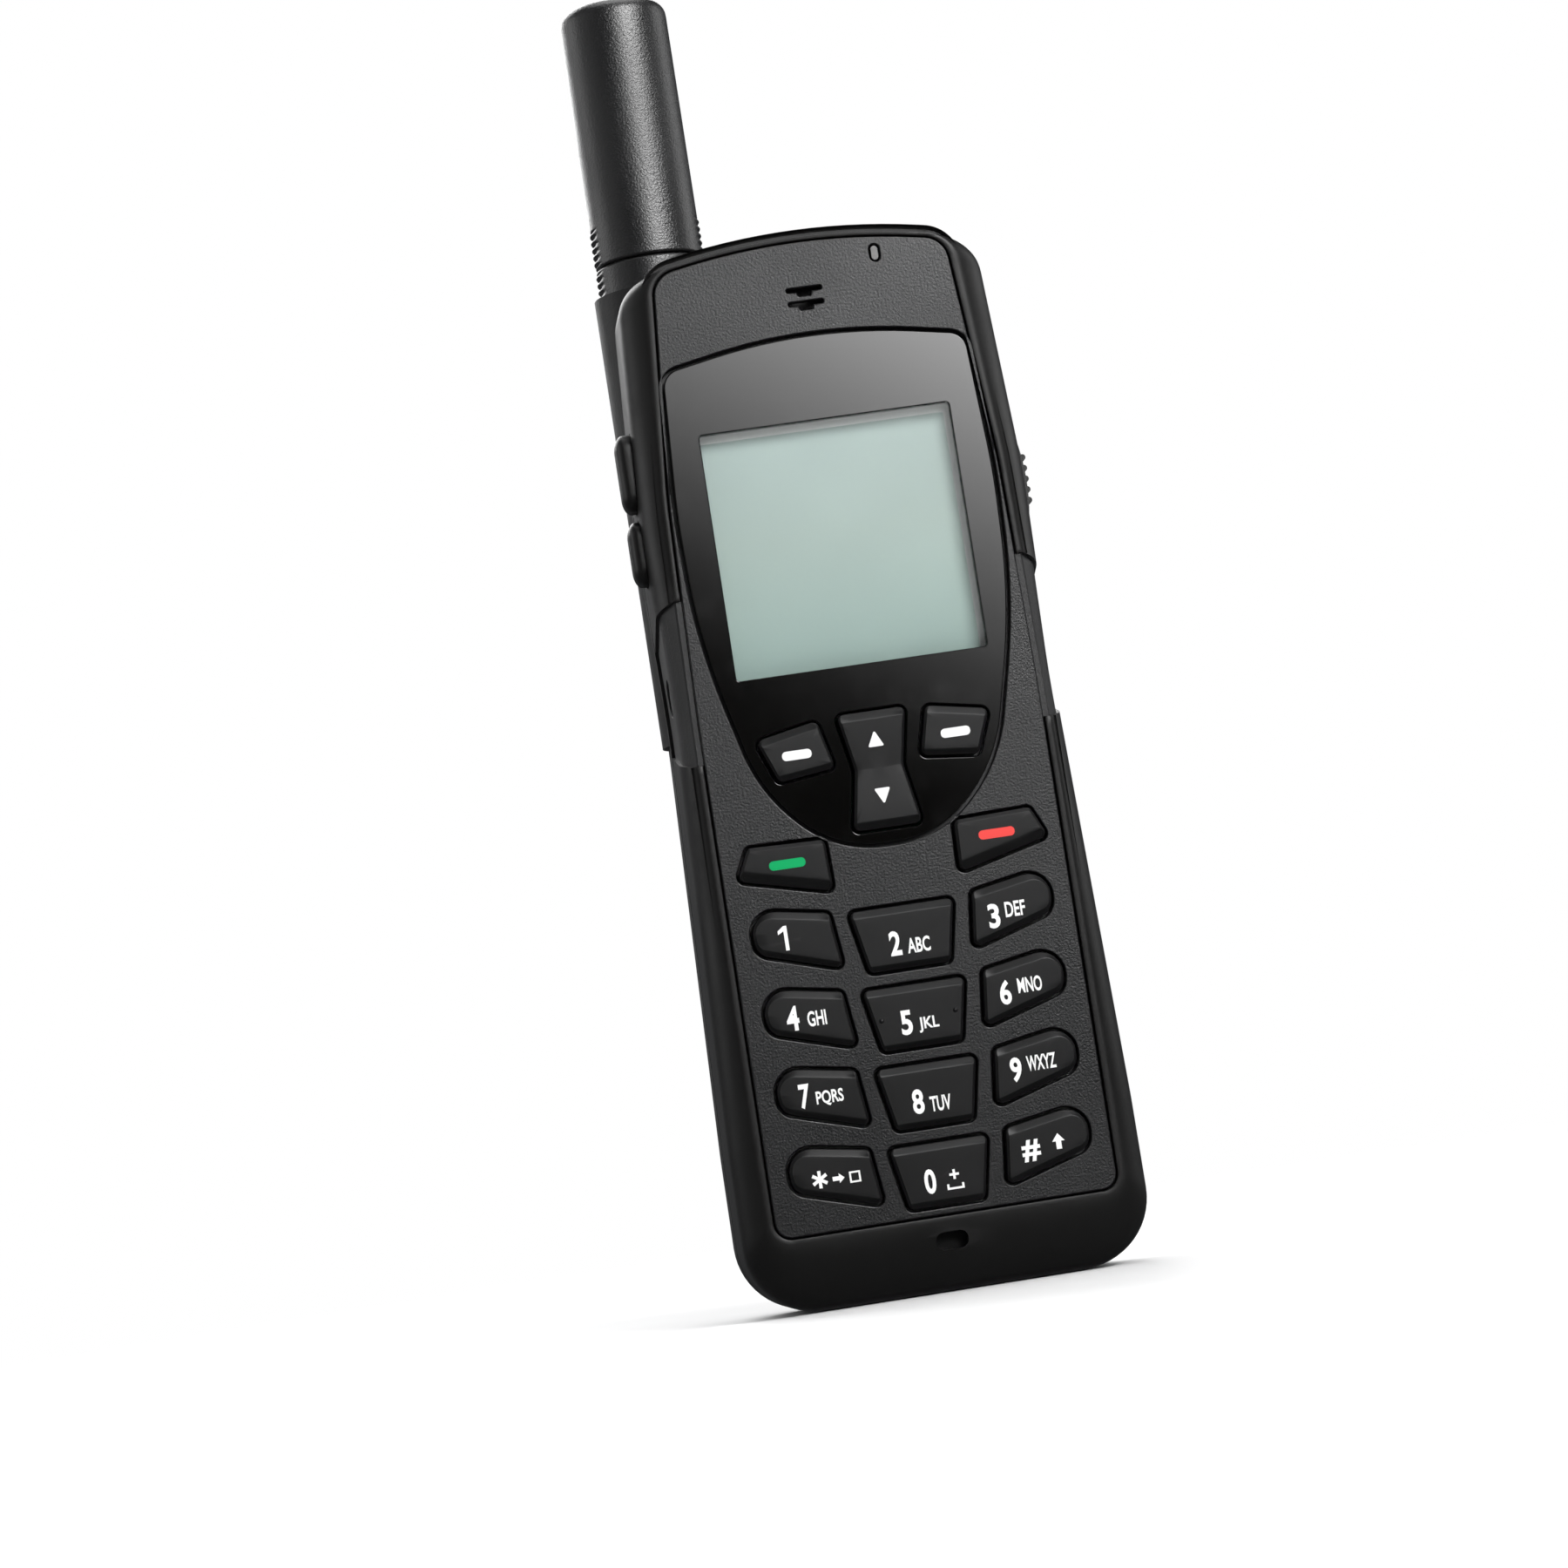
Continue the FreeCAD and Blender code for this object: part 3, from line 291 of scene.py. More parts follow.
PANEL_GRAIN = material(
    "panel_grain", (0.0034, 0.0034, 0.0039), 0.35, grain=0.055, grain_size=0.30, spread=0.45, wear=0.25
)
SOFT_TOUCH = material(
    "soft_touch_rubber", (0.0052, 0.0050, 0.0049), 0.42,
    grain=0.006, grain_size=0.25, spread=0.15, wear=0.3, smudge=0.08, specular=0.33,
)
CASE = material(
    "case_grain", (0.0080, 0.0080, 0.0084), 0.5, grain=0.035, grain_size=0.4, spread=0.3, wear=0.25
)
ANTENNA = material(
    "antenna_grain", (0.0062, 0.0062, 0.0065), 0.35,
    grain=0.07, grain_size=0.30, spread=0.3, wear=0.2, specular=0.85,
)
KEY_CAP = material(
    "key_cap", (0.0056, 0.0056, 0.0058), 0.40, grain=0.006, grain_size=0.2, spread=0.12, wear=0.25,
    specular=0.26,
)
COVER = material("cover_rubber", (0.0100, 0.0100, 0.0100), 0.55, grain=0.01, grain_size=0.3, wear=0.3)
PRINT = material("lens_print", (0.004, 0.004, 0.0045), 0.3, spread=0.2)
LENS_BLACK = material(
    "lens_black", (0.0022, 0.0021, 0.0020), 0.07, spread=0.2, rough_spread=0.02, smudge=0.05
)
INK = {"grain": 0.003, "grain_size": 0.15}
WHITE = material("legend_white", (0.80, 0.80, 0.79), 0.45, spread=0.05, **INK)
GREEN = material("legend_green", (0.0, 0.33, 0.10), 0.42, spread=0.08, specular=0.15, **INK)
RED = material("legend_red", (0.72, 0.062, 0.055), 0.42, spread=0.08, specular=0.15, **INK)
SURROUND = material("display_surround", (0.66, 0.67, 0.665), 0.5, grain=0.003, spread=0.06)
PIPE = material("light_pipe", (0.11, 0.11, 0.108), 0.35, spread=0.05)
PLATED = {"grain": 0.002, "grain_size": 0.12, "spread": 0.08, "metallic": 1.0}
STEEL = material("steel", (0.55, 0.55, 0.56), 0.32, **PLATED)
GOLD = material("gold_plate", (0.83, 0.62, 0.28), 0.28, **PLATED)
BOARD = material("board", (0.02, 0.14, 0.06), 0.4, grain=0.004, grain_size=0.5, spread=0.2)
CAST = material("cast_magnesium", (0.5, 0.5, 0.5), 0.5, grain=0.02, grain_size=0.4, metallic=1.0)
SILICONE = material("silicone", (0.30, 0.30, 0.30), 0.5, grain=0.004, spread=0.08)
CARD = material("card_plastic", (0.75, 0.75, 0.74), 0.35, grain=0.002, spread=0.04)
DARK = material("dark_mesh", (0.006, 0.006, 0.006), 0.7, grain=0.02, grain_size=0.2)


def display_material():
    """Unlit liquid crystal: grey-green, with a faint grid of cells; painted light makes it lighter and a
    little bluer at the top.
    """
    made, nodes, link = blank_material("liquid_crystal")
    shader = nodes["Principled BSDF"]
    socket(shader, "Specular IOR Level", 0.25)
    where = added(nodes, "TexCoord").outputs["Object"]
    split = added(nodes, "SeparateXYZ")
    link(where, split.inputs[0])
    # Painted light: the colour grows lighter and a little bluer from the bottom of the window to its top.
    fade = mapped(nodes, link, split.outputs["Z"], WINDOW[1] * MM, WINDOW[3] * MM)
    painted_light_ramp = added(nodes, "ValToRGB")
    painted_light_ramp.color_ramp.elements[0].color = (0.290, 0.378, 0.352, 1)
    painted_light_ramp.color_ramp.elements[1].color = (0.370, 0.445, 0.430, 1)
    middle = painted_light_ramp.color_ramp.elements.new(0.55)
    middle.color = (0.355, 0.427, 0.400, 1)
    link(fade.outputs["Result"], painted_light_ramp.inputs["Fac"])
    cloud = added(nodes, "TexNoise", values={"Scale": 60.0, "Detail": 2.0})
    link(where, cloud.inputs["Vector"])
    cells = added(nodes, "TexVoronoi", values={"Scale": 3600.0})
    link(where, cells.inputs["Vector"])
    shade = mapped(nodes, link, cloud.outputs["Fac"], 0.3, 0.7, 0.96, 1.04)
    tint = added(nodes, "VectorMath", "SCALE")
    link(painted_light_ramp.outputs["Color"], tint.inputs[0])
    link(shade.outputs["Result"], tint.inputs["Scale"])
    link(tint.outputs[0], shader.inputs["Base Color"])
    rough = mapped(nodes, link, cells.outputs["Distance"], 0.0, 1.0, 0.35, 0.5)
    link(rough.outputs["Result"], shader.inputs["Roughness"])
    return made


def lens_material():
    """Clear hard-coated lens: it mirrors by its Fresnel share and lets other light straight through."""
    made, nodes, link = blank_material("clear_lens")
    nodes.remove(nodes["Principled BSDF"])
    clear = added(nodes, "BsdfTransparent", values={"Color": (0.97, 0.98, 0.975, 1)})
    gloss = added(nodes, "BsdfGlossy")
    where = added(nodes, "TexCoord")
    marks = added(nodes, "TexNoise", values={"Scale": 90.0, "Detail": 5.0})
    link(where.outputs["Object"], marks.inputs["Vector"])
    rough = mapped(nodes, link, marks.outputs["Fac"], 0.4, 0.7, 0.05, 0.11)
    link(rough.outputs["Result"], gloss.inputs["Roughness"])
    share = added(nodes, "Fresnel", values={"IOR": 1.5})
    mix = added(nodes, "MixShader")
    # Only the outer face mirrors: light leaves through the inner one unbent, so nothing is trapped.
    side = added(nodes, "NewGeometry")
    outer = added(nodes, "Math", "MULTIPLY_ADD", {1: -LENS_MIRROR, 2: LENS_MIRROR})
    link(side.outputs["Backfacing"], outer.inputs[0])
    mirrored_share = added(nodes, "Math", "MULTIPLY")
    link(share.outputs["Fac"], mirrored_share.inputs[0])
    link(outer.outputs[0], mirrored_share.inputs[1])
    link(mirrored_share.outputs[0], mix.inputs["Fac"])
    link(clear.outputs[0], mix.inputs[1])
    link(gloss.outputs[0], mix.inputs[2])
    link(mix.outputs[0], nodes["Material Output"].inputs["Surface"])
    return made


DISPLAY = display_material()
CLEAR = lens_material()


# ------------------------------------------------------------------ mesh helpers
def placed(name, data):
    """A new object in the scene."""
    made = bpy.data.objects.new(name, data)
    bpy.context.scene.collection.objects.link(made)
    return made


def new_object(name, mesh, paint, rides, slot, smooth=True):
    made = placed(name, mesh)
    made.data.materials.clear()
    made.data.materials.append(paint)
    for polygon in made.data.polygons:
        polygon.use_smooth = smooth
    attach(made, rides)
    return made


WELD, WEIGHT = 1e-7, 80


@contextmanager
def edited(mesh):
    """A mesh's points and faces, open for changes that are then written back."""
    build = bmesh.new()
    build.from_mesh(mesh)
    yield build
    build.to_mesh(mesh)
    build.free()


def welded(mesh):
    """The mesh with its doubled points joined and its faces turned outwards."""
    with edited(mesh) as build:
        bmesh.ops.remove_doubles(build, verts=build.verts, dist=WELD)
        bmesh.ops.recalc_face_normals(build, faces=build.faces)
    return mesh


def mesh_from(name, points, faces):
    mesh = bpy.data.meshes.new(name)
    mesh.from_pydata([Vector(p) * MM for p in points], [], faces)
    return welded(mesh)


def rings_mesh(name, rings, cap_first=True, cap_last=True):
    """A closed skin through rings of equally many points."""
    count = len(rings[0])
    points = [p for ring in rings for p in ring]
    faces = []
    for r in range(len(rings) - 1):
        for i in range(count):
            j = (i + 1) % count
            faces.append((r * count + i, r * count + j, (r + 1) * count + j, (r + 1) * count + i))
    if cap_first:
        faces.append(tuple(reversed(range(count))))
    if cap_last:
        faces.append(tuple((len(rings) - 1) * count + i for i in range(count)))
    return mesh_from(name, points, faces)


def modify(made, kind, **values):
    added = made.modifiers.new(kind.lower(), kind)
    for key, value in values.items():
        setattr(added, key, value)
    return added


def applied(made):
    """The object's mesh with its modifiers applied."""
    graph = bpy.context.evaluated_depsgraph_get()
    graph.update()
    done = bpy.data.meshes.new_from_object(made.evaluated_get(graph))
    made.modifiers.clear()
    old = made.data
    made.data = done
    bpy.data.meshes.remove(old)
    return made


def finish_edges(made, width, angle):
    """Rounds sharp edges by a width, if there is one, and keeps flat faces flat in the shading."""
    if width:
        modify(
            made, "BEVEL", width=width * MM, segments=2, limit_method="ANGLE",
            angle_limit=math.radians(angle), use_clamp_overlap=True,
        )
    modify(made, "WEIGHTED_NORMAL", keep_sharp=True, weight=WEIGHT)


def combine(made, mesh, operation):
    """Cuts a closed mesh out of an object, or joins it on."""
    tool = placed("tool", mesh)
    modify(made, "BOOLEAN", operation=operation, solver="EXACT", object=tool)
    bpy.context.view_layer.update()
    applied(made)
    bpy.data.objects.remove(tool)


def carve(made, cutters):
    for mesh in cutters:
        combine(made, mesh, "DIFFERENCE")


def extruded(loop, axis, low, high):
    """A closed prism on a loop of flat points, along X, Y or Z."""
    at = "xyz".index(axis)
    return rings_mesh("prism", [[(*p[:at], along, *p[at:]) for p in loop] for along in (low, high)])


def box_mesh(low, high):
    (x0, y0, z0), (x1, y1, z1) = low, high
    return extruded([(x0, z0), (x1, z0), (x1, z1), (x0, z1)], "y", y0, y1)


def prism_mesh(corners, front, back, arc=6):
    return extruded(sampled(corners, arc), "y", front, back)


def tube_mesh(x, y, radius, low, high, count=64):
    return extruded(circle(x, y, radius, count), "z", low, high)


def outline_curve(name, loops, arc, scale=1.0):
    """A filled flat curve round its outlines, with sampled points that fall together left out."""
    curve = bpy.data.curves.new(name, "CURVE")
    curve.dimensions = "2D"
    curve.fill_mode = "BOTH"
    for corners in loops:
        clean = []
        for p in sampled(corners, arc):
            if not clean or (p - clean[-1]).length > 1e-4:
                clean.append(p)
        spline = curve.splines.new("POLY")
        spline.points.add(len(clean) - 1)
        for target, p in zip(spline.points, clean):
            target.co = (p.x * scale, p.y * scale, 0, 1)
        spline.use_cyclic_u = True
    return curve


def curve_mesh(name, curve):
    holder = placed(name + "_curve", curve)
    graph = bpy.context.evaluated_depsgraph_get()
    mesh = bpy.data.meshes.new_from_object(holder.evaluated_get(graph))
    bpy.data.objects.remove(holder)
    return mesh


def plate(name, loops, front, thick, edge, paint, slot, arc=8):
    """A flat plate with openings and rounded edges, from its front face backwards."""
    curve = outline_curve(name, loops, arc, MM)
    curve.extrude = (thick / 2 - edge) * MM
    curve.bevel_depth = edge * MM
    curve.bevel_resolution = 2
    curve.offset = -edge * MM
    mesh = curve_mesh(name, curve)
    mesh.name = name
    # The curve lies in X and Y: it is turned upright, with its front face towards -Y.
    upright = Matrix.Rotation(math.pi / 2, 4, "X")
    mesh.transform(Matrix.Translation((0, (front + thick / 2) * MM, 0)) @ upright)
    welded(mesh)
    made = new_object(name, mesh, paint, BODY, slot)
    for polygon in mesh.polygons:
        polygon.use_smooth = abs(polygon.normal.y) < 0.999
    return made


# ------------------------------------------------------------------ bumpers and waist
# The profile of the side: (distance behind the front face, share of the way from rim to full).
PROFILE = [
    (0.0, 0.0), (0.08, 0.09), (0.25, 0.19), (0.6, 0.325), (1.1, 0.48), (1.7, 0.63), (2.4, 0.765),
    (3.1, 0.87), (3.8, 0.945), (4.6, 0.985), (5.6, 1.0),
]
# The groove beside the panel: (distance behind the front face, share of the way from panel to rim).
GROOVE = [(0.22, 0.0), (0.06, 0.12), (0.0, 0.34)]
BODY_ARC, BODY_RUN = 14, 10
SEAM_Y = SEAM - 0.03


def body_rings(inset, groove, to_y):
    rim, full = grow(whole(RIM), -inset), grow(whole(FULL), -inset)
    inner = grow(whole(PANEL), groove)
    stations = [(FRONT + PANEL_THICK, inner)]
    stations += [(FRONT + depth + inset, between(inner, rim, share)) for depth, share in GROOVE]
    stations += [(FRONT + inset + depth, between(rim, full, share)) for depth, share in PROFILE]
    stations.append((to_y, full))
    return [
        [(p.x, y, p.y) for p in sampled(corners, BODY_ARC, BODY_RUN)] for y, corners in stations
    ]


def sloped_trim(mesh, height, slope, keep_below):
    """Cuts a skin by the plane that rises backwards from a height at the front face."""
    with edited(mesh) as build:
        bmesh.ops.bisect_plane(
            build,
            geom=build.verts[:] + build.edges[:] + build.faces[:],
            plane_co=(0, FRONT * MM, height * MM),
            plane_no=Vector((0, -slope, 1)).normalized(),
            clear_outer=keep_below,
            clear_inner=not keep_below,
        )


def shell(name, inset, groove, trims, thick, paint, slot, cutters, edge):
    mesh = rings_mesh(name, body_rings(inset, groove, SEAM_Y), cap_first=False, cap_last=False)
    for height, slope, keep_below in trims:
        sloped_trim(mesh, height, slope, keep_below)
    made = new_object(name, mesh, paint, BODY, slot)
    modify(made, "SOLIDIFY", thickness=thick * MM, offset=-1.0, use_even_offset=True)
    bpy.context.view_layer.update()
    applied(made)
    carve(made, cutters)
    for polygon in made.data.polygons:
        polygon.use_smooth = True
    finish_edges(made, edge, 40.0)
    return made


def node_room(node, margin, **changes):
    """The box of a node, grown by a margin, as a cutter; a side can be given its own place."""
    low, high = low_high(node)
    low = [v - margin for v in low]
    high = [v + margin for v in high]
    for key, value in changes.items():
        side = low if key.startswith("low") else high
        side["xyz".index(key[-1])] = value
    return box_mesh(low, high)


def socket_room(node, margin, from_x, to_x):
    """A round hole along X for a socket in a side of the body, as a cutter."""
    low, high = low_high(node)
    middle_y, middle_z = (low.y + high.y) / 2, (low.z + high.z) / 2
    radius = (high.z - low.z) / 2 + margin
    return extruded(circle(middle_y, middle_z, radius, 48), "x", from_x, to_x)


# Room round a piece that sits in the skins, and a place well outside each face.
GAP = 0.25
OUT_SIDE, OUT_BACK, OUT_FOOT = 32.0, 20.0, -2.0
ANTENNA_SOCKET = ("antenna_port", 0.1, 17.0, OUT_SIDE)
volume_cutters = []
for key in ("volume_up_key", "volume_down_key"):
    low, high = low_high(key)
    outline = rectangle(low.y - GAP, low.z - GAP, high.y + GAP, high.z + GAP, 2.8)
    volume_cutters.append(extruded(sampled(outline, 6), "x", -OUT_SIDE, -23.0))

BARREL_ROOM = (AXIS_X, AXIS_Y, 8.6, 77.0, 160.0)
flap_room = node_room("side_port_cover", GAP, highx=OUT_SIDE)
power_low, power_high = low_high("power_key")
power_outline = rectangle(
    power_low.x - GAP, power_low.y - GAP, power_high.x + GAP, power_high.y + GAP, POWER_CORNER + GAP
)
power_room = extruded(sampled(power_outline, 8), "z", power_low.z - GAP, 150.0)
cover_room = node_room("bottom_port_cover", GAP, lowz=OUT_FOOT)
mic_room = prism_mesh(rectangle(-2.2, 5.5, 2.2, 7.9, 1.1), -18.0, -12.0)

# Where the bumpers end: (height at the front face, its rise backwards).
LOWER_END = (74.0, 0.2)
UPPER_END = (96.5, -0.3)
BUMPER = {"inset": 0.0, "groove": 0.2, "thick": 1.6, "edge": 0.28, "paint": SOFT_TOUCH, "slot": "soft_touch"}
lower = shell("bumper_lower", trims=[(*LOWER_END, True)], cutters=[cover_room, mic_room], **BUMPER)
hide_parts("lower_bumper")
upper_rooms = [tube_mesh(*BARREL_ROOM), flap_room, power_room, socket_room(*ANTENNA_SOCKET)]
upper = shell("bumper_upper", trims=[(*UPPER_END, False)], cutters=upper_rooms + volume_cutters, **BUMPER)
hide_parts("upper_bumper")
shell(
    "waist_skin", inset=0.42, groove=0.1, thick=0.9, edge=0.1, paint=CASE, slot="case_plastic",
    trims=[(LOWER_END[0] - 1.5, LOWER_END[1], False), (UPPER_END[0] + 1.5, UPPER_END[1], True)],
    cutters=[tube_mesh(*BARREL_ROOM), socket_room("headset_jack", 0.05, -OUT_SIDE, -14.0)],
)

# ------------------------------------------------------------------ rear case
# The profile of the back: (place behind the middle, share of the way from full to the back face).
REAR_PROFILE = [
    (6.0, 0.0), (7.5, 0.03), (9.0, 0.09), (10.4, 0.18), (11.7, 0.30), (12.8, 0.44), (13.7, 0.60),
    (14.3, 0.74), (14.7, 0.86), (14.92, 0.95), (15.0, 1.0),
]
BAY_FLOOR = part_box("sim_card")[0].y / MM
SHAFT_LOW, SHAFT_BORE_R = 79.0, 7.75
BARREL_R, BARREL_TOP = 8.45, 142.3


def rear_mesh():
    full, back_face = whole(FULL), whole(BACK_FACE)
    stations = [(SEAM + 0.62, full)]
    stations += [(y, between(full, back_face, share)) for y, share in REAR_PROFILE]
    return rings_mesh(
        "rear", [[(p.x, y, p.y) for p in sampled(c, BODY_ARC, BODY_RUN)] for y, c in stations]
    )


LATCH_RECESS = rectangle(-8.3, 77.6, 8.3, 88.4, 1.2)
LATCH_TONGUE_ROOM = rectangle(-3.3, 74.4, 3.3, 80.0)
PIN_RECESS = (18.4, 10.0, 80.6), (40.0, 30.0, 86.4)
PORT_BAY = (-13.3, -4.9, -1.0), (15.3, 5.2, 8.6)
GRILLE_SLOT, GRILLE_PITCH = (3.0, 110.4, 13.0, 111.5), 2.2
SCREW_ROOM_R = 2.0
SCREWS = [(-16.0, 13.8), (16.0, 13.8), (-16.0, 70.5), (16.0, 70.5), (17.5, 128.0), (-3.6, 128.0)]


def screw_room(x, z):
    return extruded(circle(x, z, SCREW_ROOM_R, 32), "y", BAY_FLOOR - 1.15, OUT_BACK)


battery_low, battery_high = low_high("battery_pack")
latch_front = low_high("battery_latch")[0].y
bay = rectangle(battery_low.x - 0.2, battery_low.z - 0.2, battery_high.x + 0.2, battery_high.z + 0.2, 2.2)
rear_cutters = [
    prism_mesh(grow(whole(FULL), -3.0), -1.0, BAY_FLOOR - 1.3, 8),
    tube_mesh(AXIS_X, AXIS_Y, SHAFT_BORE_R, SHAFT_LOW + 1.2, 170.0, 96),
    prism_mesh(bay, BAY_FLOOR, OUT_BACK),
    prism_mesh(LATCH_RECESS, latch_front - 0.05, OUT_BACK),
    prism_mesh(LATCH_TONGUE_ROOM, latch_front - 0.1, 14.35),
    box_mesh(*PIN_RECESS),
    node_room("side_port_cover", GAP, highx=OUT_SIDE),
    node_room("bottom_port_cover", GAP, lowz=OUT_FOOT),
    socket_room(*ANTENNA_SOCKET),
    box_mesh(*PORT_BAY),
]
left, low, right, high = GRILLE_SLOT
for up in [GRILLE_PITCH * i for i in range(5)]:
    rear_cutters.append(prism_mesh(rectangle(left, low + up, right, high + up, 0.5), 13.0, OUT_BACK))
rear_cutters += [screw_room(x, z) for x, z in SCREWS]
rear = new_object("rear_shell", rear_mesh(), CASE, BODY, "case_plastic")
combine(rear, tube_mesh(AXIS_X, AXIS_Y, BARREL_R, SHAFT_LOW, BARREL_TOP, 96), "UNION")
carve(rear, rear_cutters)
for polygon in rear.data.polygons:
    polygon.use_smooth = abs(polygon.normal.y) < 0.9999
finish_edges(rear, 0.2, 55.0)
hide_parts("rear_case")

# ------------------------------------------------------------------ front panel, lens and display
front_keys = {}


def key_column(names, corners, side, shift):
    """A column of keys that narrows by a shift at each row: the left (-1), middle (0) or right (1)."""
    for row, name in enumerate(names):
        changed = []
        for x, z, r in corners:
            if side == 0:
                step = -shift * row if x > 0 else shift * row
            else:
                step = shift * row if x > -12 else 0.0
            changed.append((x + step, z - ROW_PITCH * row, r))
        front_keys[name] = mirrored(changed) if side > 0 else changed


key_column(["key_1", "key_4", "key_7", "key_star"], OUTER_KEY, -1, OUTER_SHIFT)
key_column(["key_2", "key_5", "key_8", "key_0"], MIDDLE_KEY, 0, MIDDLE_SHIFT)
key_column(["key_3", "key_6", "key_9", "key_hash"], OUTER_KEY, 1, OUTER_SHIFT)
front_keys["send_key"] = SEND
front_keys["end_key"] = mirrored(SEND)
lens_keys = {"soft_key_left": SOFT_LEFT, "soft_key_right": mirrored(SOFT_LEFT), "nav_key": NAV}


def earpiece_slot(up):
    """A wide slot with a notch in the middle of its lower edge."""
    low, notch, high = up - 0.25, up - 0.9, up + 0.3
    return [
        (-2.4, low, 0.2), (-1.0, low, 0.1), (-0.8, notch, 0.15), (0.8, notch, 0.15),
        (1.0, low, 0.1), (2.4, low, 0.2), (2.4, high, 0.25), (-2.4, high, 0.25),
    ]


ACTIVE_CELL = rectangle(-17.6, 84.0, 16.5, 117.35, 0.3)
LED = rectangle(9.8, 138.8, 10.8, 140.8, 0.5)
panel_loops = [whole(PANEL), grow(whole(LENS), 0.45), grow(LED, 0.2)]
panel_loops += [earpiece_slot(up) for up in EARPIECE_SLOTS]
panel_loops += [grow(corners, KEY_GAP) for corners in front_keys.values()]
panel = plate(
    "panel_plate", panel_loops, FRONT, thick=PANEL_THICK, edge=0.2, paint=PANEL_GRAIN,
    slot="panel_plastic", arc=12,
)
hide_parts("front_panel")

lens_loops = [whole(LENS)] + [grow(corners, KEY_GAP) for corners in lens_keys.values()]
window = rectangle(*WINDOW, 0.5)
border = plate(
    "lens_border", lens_loops + [window], FRONT, thick=1.15, edge=0.16, paint=LENS_BLACK,
    slot="lens_print", arc=12,
)
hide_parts("display_lens")
plate(
    "lens_window", [grow(window, -0.01)], FRONT + 0.01, thick=1.0, edge=0.03, paint=CLEAR, slot="lens_clear"
)

glass_low, glass_high = low_high("lcd_module")
cell = rectangle(glass_low.x, glass_low.z, glass_high.x, glass_high.z, 0.5)
glass = plate(
    "display_cell", [cell], glass_low.y, thick=glass_high.y - glass_low.y, edge=0.15, paint=DISPLAY,
    slot="display_glass",
)
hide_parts("lcd_module")
# The cell's inactive margin shows along the top and the right of the window.
margin = rectangle(glass_low.x + 0.1, glass_low.z + 0.1, glass_high.x - 0.1, glass_high.z - 0.1, 0.5)
plate(
    "display_margin", [margin, ACTIVE_CELL], glass_low.y - 0.06, thick=0.05, edge=0.01, paint=SURROUND,
    slot="light_plastic",
)


# ------------------------------------------------------------------ keys
SIDE_WIDTH, SIDE_DROP = 0.35, 0.22
CAP_DEPTH, CROWN = 2.4, 0.015
# The rounded rim of a cap: (distance in from its side, fall below its facet).
CAP_RIM = [(0.0, 0.22), (0.03, 0.12), (0.09, 0.04), (0.17, 0.0)]
# The facet from the rim inwards: (share of its width, share of its drop that is left).
FACET = [(0.35, 0.65), (0.7, 0.3), (0.9, 0.12), (1.0, 0.035), (1.15, 0.0)]


def dip(y, z, bend):
    """How far the rocker's top sinks at a height: most in its middle, nothing behind the panel's face."""
    return bend * (1 - min(1.0, abs(z - NAV_MIDDLE) / NAV_REACH)) ** 1.5 * (y < FRONT)


def key_mesh(name, corners, top_width=1.0, top_drop=0.42, low_width=0.75, low_drop=0.62, bend=0.0):
    """A cap with a sloped facet along its top edge, a darker one along its lower edge, and rounded sides."""
    count = len(corners)
    widths, drops = [], []
    for i in range(count):
        x0, z0, _ = corners[i]
        x1, z1, _ = corners[(i + 1) % count]
        side = Vector((x1 - x0, z1 - z0))
        middle = sum(c[1] for c in corners) / count
        level = abs(side.x) / side.length
        if level > 0.6 and (z0 + z1) / 2 > middle:
            widths.append(top_width)
            drops.append(top_drop)
        elif level > 0.6:
            widths.append(low_width)
            drops.append(low_drop)
        else:
            widths.append(SIDE_WIDTH)
            drops.append(SIDE_DROP)
    height = FRONT - KEY_TOP
    arc, run = 6, 6

    def edge_drops():
        """For each sampled point, the drop of the edge it lies on, blended over the corners."""
        values = []
        for i in range(count):
            before, after = drops[i - 1], drops[i]
            values += [before + (after - before) * k / arc for k in range(arc + 1)]
            values += [after] * (run - 1)
        return values

    lows = edge_drops()
    rings = []
    skirt = sampled(corners, arc, run)
    rings.append([(p.x, FRONT + CAP_DEPTH, p.y) for p in skirt])
    for inset, fall in CAP_RIM:
        loop = sampled(grow(corners, -inset), arc, run)
        rings.append([(p.x, FRONT - height + low + fall, p.y) for p, low in zip(loop, lows)])
    rim = CAP_RIM[-1][0]
    for share, left in FACET:
        insets = [-(rim + max(w - rim, 0.05) * share) for w in widths]
        loop = sampled(grow(corners, insets), arc, run)
        rings.append([(p.x, FRONT - height + low * left, p.y) for p, low in zip(loop, lows)])
    last = rings[-1]
    cx = sum(p[0] for p in last) / len(last)
    cz = sum(p[2] for p in last) / len(last)
    for share in (0.7, 0.4, 0.12):
        rise = CROWN * (1 - share)
        rings.append([(cx + (x - cx) * share, y - rise, cz + (z - cz) * share) for x, y, z in last])
    if bend:
        rings = [[(x, y + dip(y, z, bend), z) for x, y, z in ring] for ring in rings]
    return rings_mesh(name, rings)


keycaps = {}
for node, corners in {**front_keys, **lens_keys}.items():
    if node in ("send_key", "end_key"):
        mesh = key_mesh(node, corners, top_width=0.55, top_drop=0.25, low_width=1.25, low_drop=0.8)
    elif node == "nav_key":
        mesh = key_mesh(node, corners, top_width=1.1, low_width=1.0, low_drop=0.7, bend=0.22)
    else:
        mesh = key_mesh(node, corners)
    cap = new_object(node + "_cap", mesh, KEY_CAP, node, "key_plastic")
    modify(cap, "WEIGHTED_NORMAL", keep_sharp=True, weight=60)
    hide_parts(node)
    keycaps[node] = cap


# ------------------------------------------------------------------ printed legends
PRINT_LIFT, PRINT_DEPTH = 0.04, 0.01


